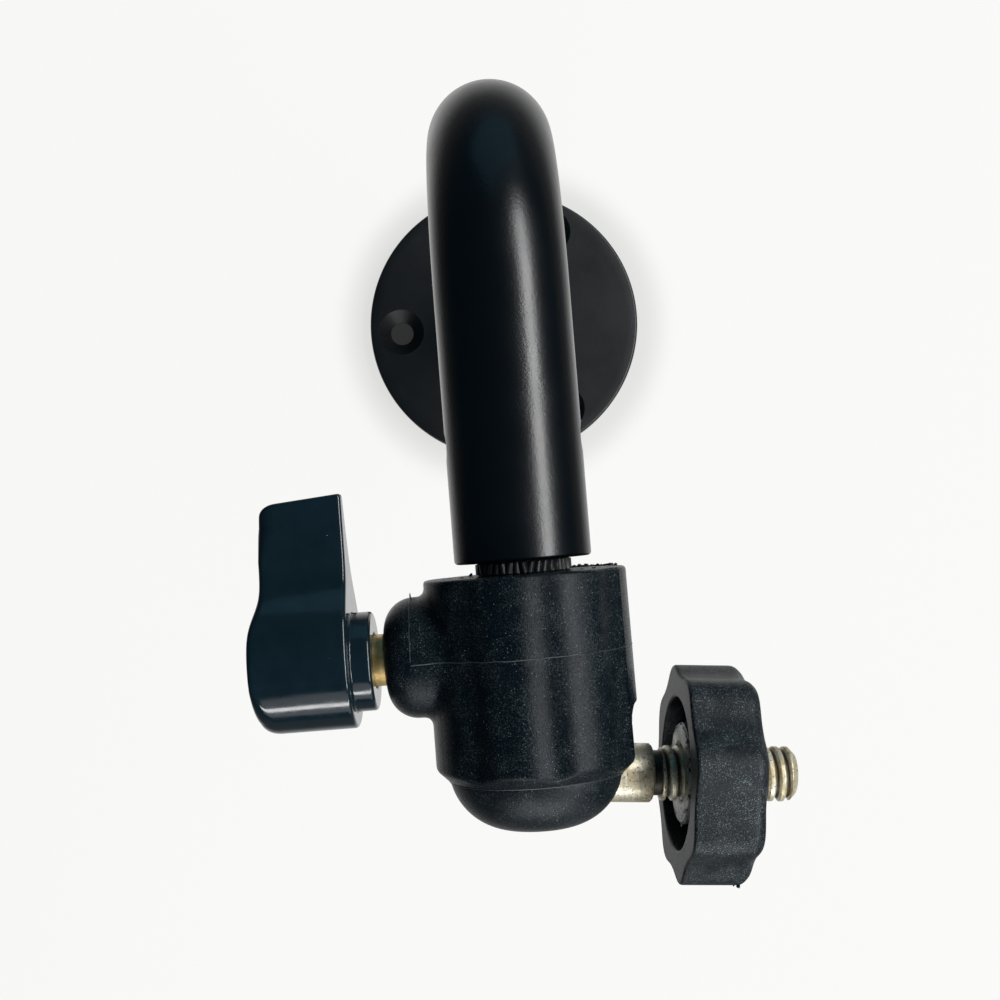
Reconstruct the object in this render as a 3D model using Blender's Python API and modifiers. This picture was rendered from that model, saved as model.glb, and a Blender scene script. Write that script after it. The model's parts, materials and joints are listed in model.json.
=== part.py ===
"""Umbrella swivel bracket: a wall plate, a bent tube and a lever-locked ball head with a threaded stud.

Frame: +Z up, +Y into the wall, +X to the right as one faces the wall.
The origin is the centre of the plate's back face, which lies against the wall.
"""
import math

import bmesh
import bpy
from mathutils import Vector

MM = 0.001
GAP = 0.3 * MM                      # left between neighbours that touch on the real object
PAST = 1.0 * MM                     # how far a cutter runs past the face that it cuts through
PART_COLLECTION = "umbrella_swivel_bracket"

# Wall plate
PLATE_RADIUS = 32.5 * MM
PLATE_THICKNESS = 3.0 * MM
PLATE_EDGE_ROUND = 0.6 * MM
BOLT_CIRCLE_RADIUS = 25.0 * MM
BOLT_HOLE_RADIUS = 2.75 * MM
COUNTERSINK_RADIUS = 5.5 * MM
BOLT_COUNT = 3
SPIGOT_LENGTH = 14.0 * MM

# Bent tube
TUBE_RADIUS = 8.0 * MM
TUBE_WALL = 1.2 * MM
REACH = 179.0 * MM                  # wall to the axis of the hanging leg
BEND_RADIUS = 24.0 * MM
TUBE_END = -55.0 * MM               # height of the tube's open lower end
TUBE_BORE = TUBE_RADIUS - TUBE_WALL

# Spring pins that fix the tube at both ends
PIN_RADIUS = 1.5 * MM
PIN_WALL = 0.5 * MM
PIN_LENGTH = 15.0 * MM
PIN_HOLE_RADIUS = PIN_RADIUS + GAP
PIN_SPLIT_ANGLE = math.radians(28)
BASE_PIN_Y = -10.0 * MM
PLUG_PIN_Z = -41.3 * MM

# Plug and swivel spindle, on the axis of the hanging leg
PLUG_TOP = -38.0 * MM
PLUG_THREAD_TOP = -44.7 * MM
SPINDLE_RADIUS = 3.7 * MM
SPINDLE_TOP = -45.1 * MM
SPINDLE_HEAD_RADIUS = 6.3 * MM
SPINDLE_HEAD_TOP = -60.6 * MM
SPINDLE_HEAD_BASE = -61.9 * MM
SPINDLE_CONE_TIP = -65.0 * MM
WASHER_TOP = -55.3 * MM
WASHER_THICKNESS = 0.9 * MM
WASHER_RADIUS = 5.75 * MM
WASHER_TEETH = 24
WASHER_TOOTH_DEPTH = 0.5 * MM
SPINDLE_CONE_BASE_RADIUS = 5.0 * MM
SPINDLE_TIP_RADIUS = 2.0 * MM
HEX_SOCKET_RADIUS = 1.45 * MM
HEX_SOCKET_DEPTH = 2.5 * MM
FRICTION_WASHER_RADIUS = 8.8 * MM
FRICTION_WASHER_THICKNESS = 0.5 * MM
DISC_SPRING_RADIUS = 7.4 * MM
DISC_SPRING_THICKNESS = 0.35 * MM
DISC_SPRING_CONE = 0.15 * MM

# Ball head housing
HEAD_TOP = -56.5 * MM
HEAD_RADIUS = 11.8 * MM
HEAD_LOWER_RADIUS = 11.9 * MM
HEAD_TOP_ROUND = 0.5 * MM
HEAD_BOTTOM = -79.7 * MM
HEAD_CHAMFER = 1.5 * MM
CAVITY_RADIUS = 9.4 * MM
INSIDE_BARREL = -5.0 * MM           # an X well inside the cavity, where side cutters end
CAVITY_TOP = -58.7 * MM
SLOT_WIDTH = 9.3 * MM
SLOT_TOP = -72.3 * MM
SLOT_CORNER = 2.0 * MM
LEVER_AXIS_Z = -65.3 * MM
BOSS_RADIUS = 7.0 * MM
BOSS_REACH = 16.7 * MM
BOSS_CORNER = 3.5 * MM
CAP_RADIUS = 10.5 * MM
CAP_BOTTOM = -86.5 * MM
CAP_SPIGOT_TOP = -77.6 * MM
CAP_CORNER_RADIUS = 7.2 * MM
CAP_CROWN_RADIUS = 23.0 * MM
CAP_SLOT_WIDTH = 9.0 * MM
SHOE_TOP = -65.7 * MM
SHOE_TOP_RADIUS = 1.5 * MM
SHOE_CONE_RADIUS = 5.0 * MM
SHOE_SHOULDER = -68.9 * MM
SHOE_BASE = -75.6 * MM
SHOE_RADIUS = 9.0 * MM
SHOE_NOTCH_WIDTH = 9.4 * MM
SHOE_NOTCH_START = 2.5 * MM
SHOE_NOTCH_TOP = -73.0 * MM

# Lever and its screw
SCREW_RADIUS = 3.0 * MM
SCREW_TIP_RADIUS = 0.7 * MM
SCREW_TIP_X = -3.3 * MM
SCREW_CONE_X = -5.6 * MM
SCREW_END_X = -25.5 * MM
NUT_ACROSS_FLATS = 10.0 * MM
NUT_INNER_X = -9.4 * MM
NUT_OUTER_X = -13.5 * MM
LEVER_INNER_X = -20.4 * MM
LEVER_OUTER_X = -31.8 * MM
LEVER_HUB_SWELL = 1.3 * MM          # how far the hub's outer end stands out beyond the paddle's
LEVER_HUB_RADIUS = 7.6 * MM
LEVER_TIP_HEIGHT = 19.7 * MM
LEVER_DRAFT_SCALE = 0.93            # outer end of the lever against its inner end
LEVER_EDGE_ROUND = 0.8 * MM
COLLAR_RADIUS = 5.75 * MM
COLLAR_X = -18.0 * MM

# Ball, stud and hand wheel, along the stud's axis from the ball's centre
BALL_Z = -79.6 * MM
BALL_RADIUS = 5.5 * MM
STUD_REST_TILT = math.radians(5.7)  # below square to the hanging leg
STUD_REST_SWING = math.radians(4.8)  # towards the wall, within the slot's width
STUD_PLAIN_RADIUS = 3.4 * MM
STUD_THREAD_RADIUS = 3.175 * MM
STUD_TANG_RADIUS = 2.5 * MM
TANG_END = -0.7 * MM
STUD_GROOVE_RADIUS = 2.6 * MM
STUD_PLAIN_END = 13.0 * MM
STUD_GROOVE_END = 14.0 * MM
STUD_END = 29.8 * MM
WHEEL_FACE = 15.9 * MM
WHEEL_THICKNESS = 8.2 * MM
WHEEL_RADIUS = 12.65 * MM
WHEEL_LOBES = 8
WHEEL_LOBE_DEPTH = 1.1 * MM
WHEEL_POINTS_PER_LOBE = 8
WHEEL_LOBE_PHASE = math.radians(31.4)
WHEEL_EDGE_ROUND = 0.6 * MM
WHEEL_RECESS_RADIUS = 8.8 * MM
WHEEL_RECESS_DEPTH = 6.0 * MM
INSERT_RADIUS = 5.85 * MM
INSERT_FACE = 16.3 * MM
INSERT_END = 23.7 * MM

TURN_STEPS = 40
SMALL_TURN_STEPS = 28
TO_WALL_AXIS = (math.pi / 2, 0, 0)  # local +Z becomes -Y, away from the wall
TO_X_AXIS = (0, math.pi / 2, 0)     # local +Z becomes +X


def clear_scene():
    """Remove every object that the file opened with."""
    for obj in list(bpy.data.objects):
        bpy.data.objects.remove(obj, do_unlink=True)


def make_collection(name):
    collection = bpy.data.collections.new(name)
    bpy.context.scene.collection.children.link(collection)
    return collection


def make_material(name, colour, roughness, metallic=0.0):
    material = bpy.data.materials.new(name)
    material.use_nodes = True
    shader = material.node_tree.nodes["Principled BSDF"]
    shader.inputs["Base Color"].default_value = (*colour, 1.0)
    shader.inputs["Roughness"].default_value = roughness
    shader.inputs["Metallic"].default_value = metallic
    return material


def add_object(name, data, material=None, parent=None, location=(0, 0, 0), rotation=(0, 0, 0)):
    """Place a named object. One without a material is a tool that shapes the others."""
    obj = bpy.data.objects.new(name, data)
    obj.location = location
    obj.rotation_euler = rotation
    obj.parent = parent
    if material is None:
        tools.objects.link(obj)
        obj.display_type = "WIRE"
        obj.hide_render = True
    else:
        parts.objects.link(obj)
        data.materials.append(material)
    return obj


def add_pivot(name, parent=None, location=(0, 0, 0), rotation=(0, 0, 0)):
    pivot = bpy.data.objects.new(name, None)
    pivot.empty_display_size = 0.01
    pivot.location = location
    pivot.rotation_euler = rotation
    pivot.parent = parent
    parts.objects.link(pivot)
    return pivot


def turned(name, profile, material=None, ring=False, steps=TURN_STEPS, **place):
    """Turn (radius, height) points about local Z. They run down the outer side."""
    mesh = bpy.data.meshes.new(name)
    edges = [(i, i + 1) for i in range(len(profile) - 1)]
    if ring:
        edges.append((len(profile) - 1, 0))
    mesh.from_pydata([(radius, 0, height) for radius, height in profile], edges, [])
    obj = add_object(name, mesh, material, **place)
    screw = obj.modifiers.new("turn", "SCREW")
    screw.axis = "Z"
    screw.steps = steps
    screw.render_steps = steps
    screw.use_merge_vertices = True
    screw.merge_threshold = 0.000001
    screw.use_smooth_shade = True
    return obj


def rod(name, radius, start, end, material=None, sides=SMALL_TURN_STEPS, **place):
    """A round or many-sided bar along local Z from height start to height end."""
    mesh = bpy.data.meshes.new(name)
    bm = bmesh.new()
    bmesh.ops.create_cone(bm, cap_ends=True, segments=sides, radius1=radius, radius2=radius,
                          depth=end - start)
    bmesh.ops.translate(bm, verts=bm.verts, vec=(0, 0, (start + end) / 2))
    bm.to_mesh(mesh)
    bm.free()
    return add_object(name, mesh, material, **place)


def block(name, low, high, **place):
    """A cutting block between two corners."""
    mesh = bpy.data.meshes.new(name)
    bm = bmesh.new()
    bmesh.ops.create_cube(bm, size=1.0)
    size = Vector(high) - Vector(low)
    bmesh.ops.scale(bm, verts=bm.verts, vec=size)
    bmesh.ops.translate(bm, verts=bm.verts, vec=Vector(low) + size / 2)
    bm.to_mesh(mesh)
    bm.free()
    return add_object(name, mesh, **place)


def combine(obj, tool, operation="DIFFERENCE"):
    boolean = obj.modifiers.new(tool.name, "BOOLEAN")
    boolean.operation = operation
    boolean.object = tool
    boolean.solver = "EXACT"


def outline_curve(name, outlines, half_thickness):
    """A flat 2D curve, filled between its outlines and extruded both ways along local Z."""
    curve = bpy.data.curves.new(name, "CURVE")
    curve.dimensions = "2D"
    curve.fill_mode = "BOTH"
    curve.extrude = half_thickness
    for points in outlines:
        spline = curve.splines.new("POLY")
        spline.points.add(len(points) - 1)
        for point, (x, y) in zip(spline.points, points):
            point.co = (x, y, 0, 1)
        spline.use_cyclic_u = True
    return curve


def curve_to_mesh(curve, name):
    """The welded mesh of a curve, which modifiers can then shape."""
    holder = bpy.data.objects.new(name, curve)
    tools.objects.link(holder)
    bpy.context.view_layer.update()
    graph = bpy.context.evaluated_depsgraph_get()
    mesh = bpy.data.meshes.new_from_object(holder.evaluated_get(graph))
    bpy.data.objects.remove(holder, do_unlink=True)
    bpy.data.curves.remove(curve)
    bm = bmesh.new()
    bm.from_mesh(mesh)
    bmesh.ops.remove_doubles(bm, verts=bm.verts, dist=0.000001)
    bmesh.ops.recalc_face_normals(bm, faces=bm.faces)
    bm.to_mesh(mesh)
    bm.free()
    return mesh


def arc(centre, radius, start, end, count):
    """Points on an arc in the plane, its angles in degrees."""
    angles = [math.radians(start + (end - start) * i / count) for i in range(count + 1)]
    return [(centre[0] + radius * math.cos(a), centre[1] + radius * math.sin(a)) for a in angles]


def circle(radius, count):
    return arc((0, 0), radius, 0, 360 * (count - 1) / count, count - 1)


def build_base_plate():
    """Round plate with three countersunk holes and the spigot that the tube slides over."""
    edge = arc((PLATE_RADIUS - PLATE_EDGE_ROUND, PLATE_THICKNESS - PLATE_EDGE_ROUND),
               PLATE_EDGE_ROUND, 90, 0, 3)
    spigot_radius = TUBE_BORE - GAP
    spigot_end = PLATE_THICKNESS + SPIGOT_LENGTH
    profile = [(0, spigot_end), (spigot_radius - GAP, spigot_end), (spigot_radius, spigot_end - GAP),
               (spigot_radius, PLATE_THICKNESS), *edge, (PLATE_RADIUS, 0), (0, 0)]
    plate = turned("base_plate", profile, satin_black, steps=56, rotation=TO_WALL_AXIS)
    sink = [(0, PLATE_THICKNESS + PAST), (COUNTERSINK_RADIUS + PAST, PLATE_THICKNESS + PAST),
            (BOLT_HOLE_RADIUS, PLATE_THICKNESS - (COUNTERSINK_RADIUS - BOLT_HOLE_RADIUS)),
            (BOLT_HOLE_RADIUS, -PAST), (0, -PAST)]
    for i in range(BOLT_COUNT):
        angle = math.pi + 2 * math.pi * i / BOLT_COUNT
        place = (BOLT_CIRCLE_RADIUS * math.cos(angle), 0, BOLT_CIRCLE_RADIUS * math.sin(angle))
        hole = turned(f"bolt_hole_{i + 1}", sink, steps=SMALL_TURN_STEPS, location=place,
                      rotation=TO_WALL_AXIS)
        combine(plate, hole)
    combine(plate, pin_hole("base_pin_hole", (0, BASE_PIN_Y, 0)))
    return plate


def pin_hole(name, place):
    return rod(name, PIN_HOLE_RADIUS, -2 * TUBE_RADIUS, 2 * TUBE_RADIUS, sides=20, location=place,
               rotation=TO_X_AXIS)


def build_spring_pin(name, place):
    """Split spring pin, a C in section, across the tube."""
    split = math.degrees(PIN_SPLIT_ANGLE)
    outline = arc((0, 0), PIN_RADIUS, split, 360 - split, 16)
    outline += arc((0, 0), PIN_RADIUS - PIN_WALL, 360 - split, split, 12)
    return add_object(name, outline_curve(name, [outline], PIN_LENGTH / 2), steel, location=place,
                      rotation=TO_X_AXIS)


def build_tube():
    """Tube that runs straight out from the wall, bends down a quarter turn and hangs."""
    bend = arc((-(REACH - BEND_RADIUS), -BEND_RADIUS), BEND_RADIUS, 90, 180, 14)
    route = [(-(PLATE_THICKNESS + GAP), 0), (-REACH / 3, 0), (-REACH * 2 / 3, 0), *bend,
             (-REACH, (TUBE_END - BEND_RADIUS) / 2), (-REACH, TUBE_END)]
    curve = bpy.data.curves.new("bent_tube", "CURVE")
    curve.dimensions = "3D"
    curve.bevel_depth = TUBE_RADIUS
    curve.bevel_resolution = 12
    curve.use_fill_caps = False
    spline = curve.splines.new("POLY")
    spline.points.add(len(route) - 1)
    for point, (y, z) in zip(spline.points, route):
        point.co = (0, y, z, 1)
    mesh = curve_to_mesh(curve, "bent_tube")
    mesh.shade_smooth()
    tube = add_object("bent_tube", mesh, satin_black)
    wall = tube.modifiers.new("wall", "SOLIDIFY")
    wall.thickness = TUBE_WALL
    wall.offset = -1
    wall.use_even_offset = True
    combine(tube, pin_hole("tube_base_pin_hole", (0, BASE_PIN_Y, 0)))
    combine(tube, pin_hole("tube_plug_pin_hole", (0, -REACH, PLUG_PIN_Z)))
    return tube


def build_tube_plug():
    """Plug pinned in the tube's lower end, tapped from below for the spindle."""
    outer = TUBE_BORE - GAP
    inner = SPINDLE_RADIUS + GAP
    chamfer = 0.5 * MM
    profile = [(0, PLUG_TOP), (outer - chamfer, PLUG_TOP), (outer, PLUG_TOP - chamfer),
               (outer, TUBE_END), (inner, TUBE_END), (inner, PLUG_THREAD_TOP), (0, PLUG_THREAD_TOP)]
    plug = turned("tube_plug", profile, steel, steps=32, location=(0, -REACH, 0))
    combine(plug, pin_hole("plug_pin_hole", (0, -REACH, PLUG_PIN_Z)))
    return plug


def build_toothed_washer():
    """Toothed washer between the tube's end and the head."""
    count = 2 * WASHER_TEETH
    teeth = []
    for i in range(count):
        radius = WASHER_RADIUS - (WASHER_TOOTH_DEPTH if i % 2 else 0)
        angle = 2 * math.pi * i / count
        teeth.append((radius * math.cos(angle), radius * math.sin(angle)))
    curve = outline_curve("toothed_washer", [teeth, circle(SPINDLE_RADIUS + GAP, 24)],
                          WASHER_THICKNESS / 2)
    return add_object("toothed_washer", curve, steel,
                      location=(0, -REACH, WASHER_TOP - WASHER_THICKNESS / 2))


def build_spindle():
    """Headed spindle that the head turns on, with a conical end for the clamp screw."""
    chamfer = 0.4 * MM
    profile = [(0, SPINDLE_TOP), (SPINDLE_RADIUS - chamfer, SPINDLE_TOP),
               (SPINDLE_RADIUS, SPINDLE_TOP - chamfer), (SPINDLE_RADIUS, SPINDLE_HEAD_TOP),
               (SPINDLE_HEAD_RADIUS, SPINDLE_HEAD_TOP), (SPINDLE_HEAD_RADIUS, SPINDLE_HEAD_BASE),
               (SPINDLE_CONE_BASE_RADIUS, SPINDLE_HEAD_BASE), (SPINDLE_TIP_RADIUS, SPINDLE_CONE_TIP),
               (0, SPINDLE_CONE_TIP)]
    spindle = turned("swivel_spindle", profile, steel, steps=SMALL_TURN_STEPS,
                     location=(0, -REACH, 0))
    key = rod("spindle_hex_socket", HEX_SOCKET_RADIUS, SPINDLE_CONE_TIP - PAST,
              SPINDLE_CONE_TIP + HEX_SOCKET_DEPTH, sides=6, location=(0, -REACH, 0))
    combine(spindle, key)
    return spindle


def build_swivel_washers(pivot):
    """Plain friction washer and disc spring between the head's roof and the spindle's head."""
    inner = SPINDLE_RADIUS + GAP
    top = CAVITY_TOP - GAP
    base = top - FRICTION_WASHER_THICKNESS
    flat = [(inner, top), (FRICTION_WASHER_RADIUS, top), (FRICTION_WASHER_RADIUS, base), (inner, base)]
    turned("friction_washer", flat, nylon, ring=True, steps=SMALL_TURN_STEPS, parent=pivot)
    top = base - GAP
    rim = top - DISC_SPRING_CONE
    dished = [(inner, top), (DISC_SPRING_RADIUS, rim), (DISC_SPRING_RADIUS, rim - DISC_SPRING_THICKNESS),
              (inner, top - DISC_SPRING_THICKNESS)]
    turned("disc_spring", dished, steel, ring=True, steps=SMALL_TURN_STEPS, location=(0, -REACH, 0))


def build_housing(pivot):
    """Moulded head: a barrel with a side boss for the clamp screw and a slot for the stud."""
    roof = arc((HEAD_RADIUS - HEAD_TOP_ROUND, HEAD_TOP - HEAD_TOP_ROUND), HEAD_TOP_ROUND, 90, 0, 3)
    profile = [(0, HEAD_TOP), *roof, (HEAD_LOWER_RADIUS, HEAD_BOTTOM + HEAD_CHAMFER),
               (HEAD_LOWER_RADIUS - HEAD_CHAMFER, HEAD_BOTTOM), (0, HEAD_BOTTOM)]
    housing = turned("head_housing", profile, moulded_black, steps=44, parent=pivot)
    nose = arc((BOSS_RADIUS - BOSS_CORNER, BOSS_REACH - BOSS_CORNER), BOSS_CORNER, 90, 0, 6)
    boss = turned("boss", [(0, BOSS_REACH), *nose, (BOSS_RADIUS, 0), (0, 0)], steps=32, parent=pivot,
                  location=(0, 0, LEVER_AXIS_Z), rotation=(0, -math.pi / 2, 0))
    combine(housing, boss, "UNION")
    combine(housing, rod("head_cavity", CAVITY_RADIUS, HEAD_BOTTOM - PAST, CAVITY_TOP, sides=40,
                         parent=pivot))
    combine(housing, rod("spindle_hole", SPINDLE_RADIUS + GAP, CAVITY_TOP - PAST,
                         HEAD_TOP + PAST, parent=pivot))
    across = (0, 0, LEVER_AXIS_Z)
    combine(housing, rod("screw_hole", SCREW_RADIUS + GAP, -BOSS_REACH - PAST, INSIDE_BARREL,
                         parent=pivot, location=across, rotation=TO_X_AXIS))
    pocket_radius = hex_radius(NUT_ACROSS_FLATS + 2 * GAP)
    combine(housing, rod("nut_pocket", pocket_radius, NUT_OUTER_X - GAP, INSIDE_BARREL, sides=6,
                         parent=pivot, location=across, rotation=TO_X_AXIS))
    half = SLOT_WIDTH / 2
    top = -SLOT_TOP + SLOT_CORNER
    bottom = -HEAD_BOTTOM + PAST
    outline = [(bottom, half), *arc((top, half - SLOT_CORNER), SLOT_CORNER, 90, 180, 4),
               *arc((top, SLOT_CORNER - half), SLOT_CORNER, 180, 270, 4), (bottom, -half)]
    slot_end = HEAD_LOWER_RADIUS + PAST
    slot = outline_curve("head_slot", [outline], (slot_end + INSIDE_BARREL) / 2)
    combine(housing, add_object("head_slot", curve_to_mesh(slot, "head_slot"), parent=pivot,
                                location=((slot_end - INSIDE_BARREL) / 2, 0, 0), rotation=TO_X_AXIS))
    return housing


def hex_radius(across_flats):
    return across_flats / 2 / math.cos(math.pi / 6)


def cap_dome():
    """Dished end of the cap: a corner arc that runs into a flatter crown arc."""
    corner = (CAP_RADIUS - CAP_CORNER_RADIUS, 0.0)
    reach = CAP_CROWN_RADIUS - CAP_CORNER_RADIUS
    tangent = math.degrees(math.asin(corner[0] / reach))
    crown_centre_z = reach * math.cos(math.radians(tangent))
    drop = CAP_CROWN_RADIUS - crown_centre_z
    corner_z = CAP_BOTTOM + drop
    dome = arc((corner[0], corner_z), CAP_CORNER_RADIUS, 0, -(90 - tangent), 9)
    crown = arc((0, corner_z + crown_centre_z), CAP_CROWN_RADIUS, -(90 - tangent), -90, 3)
    top = HEAD_BOTTOM - GAP
    return [(radius, height) for radius, height in dome + crown[1:] if height < top - 0.1 * MM]


def build_bottom_cap(pivot):
    """Domed cap that closes the head and seats the ball, slotted so that the stud can hang down."""
    top = HEAD_BOTTOM - GAP
    spigot = CAVITY_RADIUS - GAP
    shoulder = HEAD_LOWER_RADIUS - HEAD_CHAMFER
    profile = [(0, CAP_SPIGOT_TOP), (spigot, CAP_SPIGOT_TOP), (spigot, top), (shoulder, top),
               *cap_dome()]
    cap = turned("bottom_cap", profile, moulded_black, parent=pivot)
    combine(cap, sphere("ball_seat", BALL_RADIUS + GAP, parent=pivot, location=(0, 0, BALL_Z)))
    half = CAP_SLOT_WIDTH / 2
    combine(cap, rod("cap_slot_round", half, CAP_BOTTOM - PAST, BALL_Z, parent=pivot))
    combine(cap, block("cap_slot_straight", (0, -half, CAP_BOTTOM - PAST),
                       (CAP_RADIUS + PAST, half, CAP_SPIGOT_TOP + PAST), parent=pivot))
    return cap


def sphere(name, radius, material=None, **place):
    mesh = bpy.data.meshes.new(name)
    bm = bmesh.new()
    bmesh.ops.create_uvsphere(bm, u_segments=28, v_segments=16, radius=radius)
    bm.to_mesh(mesh)
    bm.free()
    mesh.shade_smooth()
    return add_object(name, mesh, material, **place)


def build_pressure_shoe(pivot):
    """Shoe that the clamp screw's cone wedges down on to the ball."""
    profile = [(0, SHOE_TOP), (SHOE_TOP_RADIUS, SHOE_TOP), (SHOE_CONE_RADIUS, SHOE_SHOULDER),
               (SHOE_RADIUS, SHOE_SHOULDER), (SHOE_RADIUS, SHOE_BASE), (0, SHOE_BASE)]
    shoe = turned("pressure_shoe", profile, nylon, steps=32, parent=pivot)
    combine(shoe, sphere("shoe_cup", BALL_RADIUS + GAP, parent=pivot, location=(0, 0, BALL_Z)))
    half = SHOE_NOTCH_WIDTH / 2
    combine(shoe, block("shoe_notch", (SHOE_NOTCH_START, -half, BALL_Z),
                        (SHOE_RADIUS + PAST, half, SHOE_NOTCH_TOP), parent=pivot))
    return shoe


def build_clamp(pivot):
    """Captive nut in the boss and the cone-ended screw that the lever turns."""
    nut = rod("clamp_nut", hex_radius(NUT_ACROSS_FLATS), NUT_OUTER_X, NUT_INNER_X, brass, sides=6,
              parent=pivot, location=(0, 0, LEVER_AXIS_Z), rotation=TO_X_AXIS)
    combine(nut, rod("nut_thread", SCREW_RADIUS + GAP, NUT_OUTER_X - PAST, NUT_INNER_X + PAST,
                     parent=pivot, location=(0, 0, LEVER_AXIS_Z), rotation=TO_X_AXIS))
    profile = [(0, SCREW_TIP_X), (SCREW_TIP_RADIUS, SCREW_TIP_X), (SCREW_RADIUS, SCREW_CONE_X),
               (SCREW_RADIUS, SCREW_END_X), (0, SCREW_END_X)]
    turned("clamp_screw", profile, brass, steps=SMALL_TURN_STEPS, parent=pivot,
           location=(0, 0, LEVER_AXIS_Z), rotation=TO_X_AXIS)


def lever_outline():
    """Hub circle and tapering paddle in the lever's own plane: x up the paddle, y to the wall."""
    hub = arc((0, 0), LEVER_HUB_RADIUS, 56, 304, 22)
    tip = LEVER_TIP_HEIGHT
    front_root = [(7.6 * MM, -4.2 * MM), (9.6 * MM, -3.1 * MM)]
    front_tip = [(tip - 0.8 * MM, -2.7 * MM), (tip - 0.2 * MM, -2.3 * MM)]
    back_tip = [(tip, -1.3 * MM), (tip - 0.5 * MM, -0.4 * MM)]
    back_root = [(10.0 * MM, 2.0 * MM), (7.6 * MM, 4.0 * MM)]
    return hub + front_root + front_tip + back_tip + back_root


def build_lever(pivot):
    """Wing lever, thinner towards its outer end, with a collar facing the boss."""
    width = LEVER_INNER_X - LEVER_OUTER_X
    outline = [(-x, y) for x, y in lever_outline()]
    mesh = curve_to_mesh(outline_curve("lever", [outline], width / 2), "lever")
    for vertex in mesh.vertices:
        if vertex.co.z < 0:
            vertex.co.x *= LEVER_DRAFT_SCALE
            vertex.co.y *= LEVER_DRAFT_SCALE
            if vertex.co.x < -LEVER_HUB_RADIUS:
                vertex.co.z += LEVER_HUB_SWELL
        vertex.co.z += (LEVER_INNER_X + LEVER_OUTER_X) / 2
    lever = add_object("lever", mesh, gloss_black, parent=pivot, rotation=TO_X_AXIS)
    edge = lever.modifiers.new("edge_round", "BEVEL")
    edge.width = LEVER_EDGE_ROUND
    edge.segments = 2
    edge.limit_method = "ANGLE"
    edge.angle_limit = math.radians(50)
    collar = rod("lever_collar", COLLAR_RADIUS, LEVER_INNER_X - PAST, COLLAR_X, sides=32,
                 parent=pivot, rotation=TO_X_AXIS)
    combine(lever, collar, "UNION")
    combine(lever, rod("lever_bore", SCREW_RADIUS + GAP, SCREW_END_X - GAP, COLLAR_X + PAST,
                       parent=pivot, rotation=TO_X_AXIS))
    return lever


def build_ball(pivot):
    """Ball drilled for the stud's tang."""
    ball = sphere("ball", BALL_RADIUS, nickel, parent=pivot, rotation=TO_X_AXIS)
    combine(ball, rod("ball_bore", STUD_TANG_RADIUS + GAP, -PAST, BALL_RADIUS + PAST,
                      parent=pivot, rotation=TO_X_AXIS))
    return ball


def build_stud(pivot):
    """Quarter-inch stud: tang, plain part, relief groove and thread, on local +X."""
    chamfer = 0.6 * MM
    shoulder = BALL_RADIUS - 0.45 * MM
    profile = [(0, STUD_END), (STUD_THREAD_RADIUS - chamfer, STUD_END),
               (STUD_THREAD_RADIUS, STUD_END - chamfer), (STUD_THREAD_RADIUS, STUD_GROOVE_END),
               (STUD_GROOVE_RADIUS, STUD_GROOVE_END), (STUD_GROOVE_RADIUS, STUD_PLAIN_END),
               (STUD_PLAIN_RADIUS, STUD_PLAIN_END), (STUD_PLAIN_RADIUS, shoulder),
               (STUD_TANG_RADIUS, shoulder), (STUD_TANG_RADIUS, TANG_END), (0, TANG_END)]
    return turned("threaded_stud", profile, nickel, steps=SMALL_TURN_STEPS, parent=pivot,
                  rotation=TO_X_AXIS)


def build_wheel(pivot):
    """Lobed hand wheel, hollow on the side facing the head, on a threaded insert."""
    outline = []
    count = WHEEL_POINTS_PER_LOBE * WHEEL_LOBES
    for i in range(count):
        angle = 2 * math.pi * i / count
        swell = 0.5 + 0.5 * math.cos(WHEEL_LOBES * (angle - WHEEL_LOBE_PHASE))
        radius = WHEEL_RADIUS - WHEEL_LOBE_DEPTH * (1 - swell)
        outline.append((radius * math.cos(angle), radius * math.sin(angle)))
    mesh = curve_to_mesh(outline_curve("thumb_wheel", [outline], WHEEL_THICKNESS / 2), "thumb_wheel")
    for vertex in mesh.vertices:
        vertex.co.z += WHEEL_FACE + WHEEL_THICKNESS / 2
    wheel = add_object("thumb_wheel", mesh, moulded_black, parent=pivot, rotation=TO_X_AXIS)
    edge = wheel.modifiers.new("edge_round", "BEVEL")
    edge.width = WHEEL_EDGE_ROUND
    edge.segments = 2
    edge.limit_method = "ANGLE"
    edge.angle_limit = math.radians(60)
    combine(wheel, rod("wheel_recess", WHEEL_RECESS_RADIUS, WHEEL_FACE - PAST,
                       WHEEL_FACE + WHEEL_RECESS_DEPTH, sides=36, parent=pivot, rotation=TO_X_AXIS))
    combine(wheel, rod("wheel_bore", INSERT_RADIUS + GAP, WHEEL_FACE + PAST,
                       WHEEL_FACE + WHEEL_THICKNESS + PAST, sides=32, parent=pivot,
                       rotation=TO_X_AXIS))
    inner = STUD_THREAD_RADIUS + GAP
    profile = [(inner, INSERT_END), (INSERT_RADIUS, INSERT_END), (INSERT_RADIUS, INSERT_FACE),
               (inner, INSERT_FACE)]
    turned("wheel_insert", profile, steel, ring=True, steps=32, parent=pivot, rotation=TO_X_AXIS)
    return wheel


clear_scene()
parts = make_collection(PART_COLLECTION)
tools = make_collection("shaping_tools")
satin_black = make_material("satin_black_paint", (0.012, 0.013, 0.016), 0.35)
moulded_black = make_material("moulded_black_plastic", (0.020, 0.021, 0.024), 0.6)
gloss_black = make_material("gloss_black_plastic", (0.010, 0.011, 0.013), 0.15)
brass = make_material("brass", (0.72, 0.50, 0.18), 0.3, 1.0)
nickel = make_material("nickel_plate", (0.66, 0.62, 0.54), 0.3, 1.0)
steel = make_material("dull_steel", (0.28, 0.28, 0.29), 0.5, 1.0)
nylon = make_material("nylon", (0.75, 0.74, 0.70), 0.5)

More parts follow.
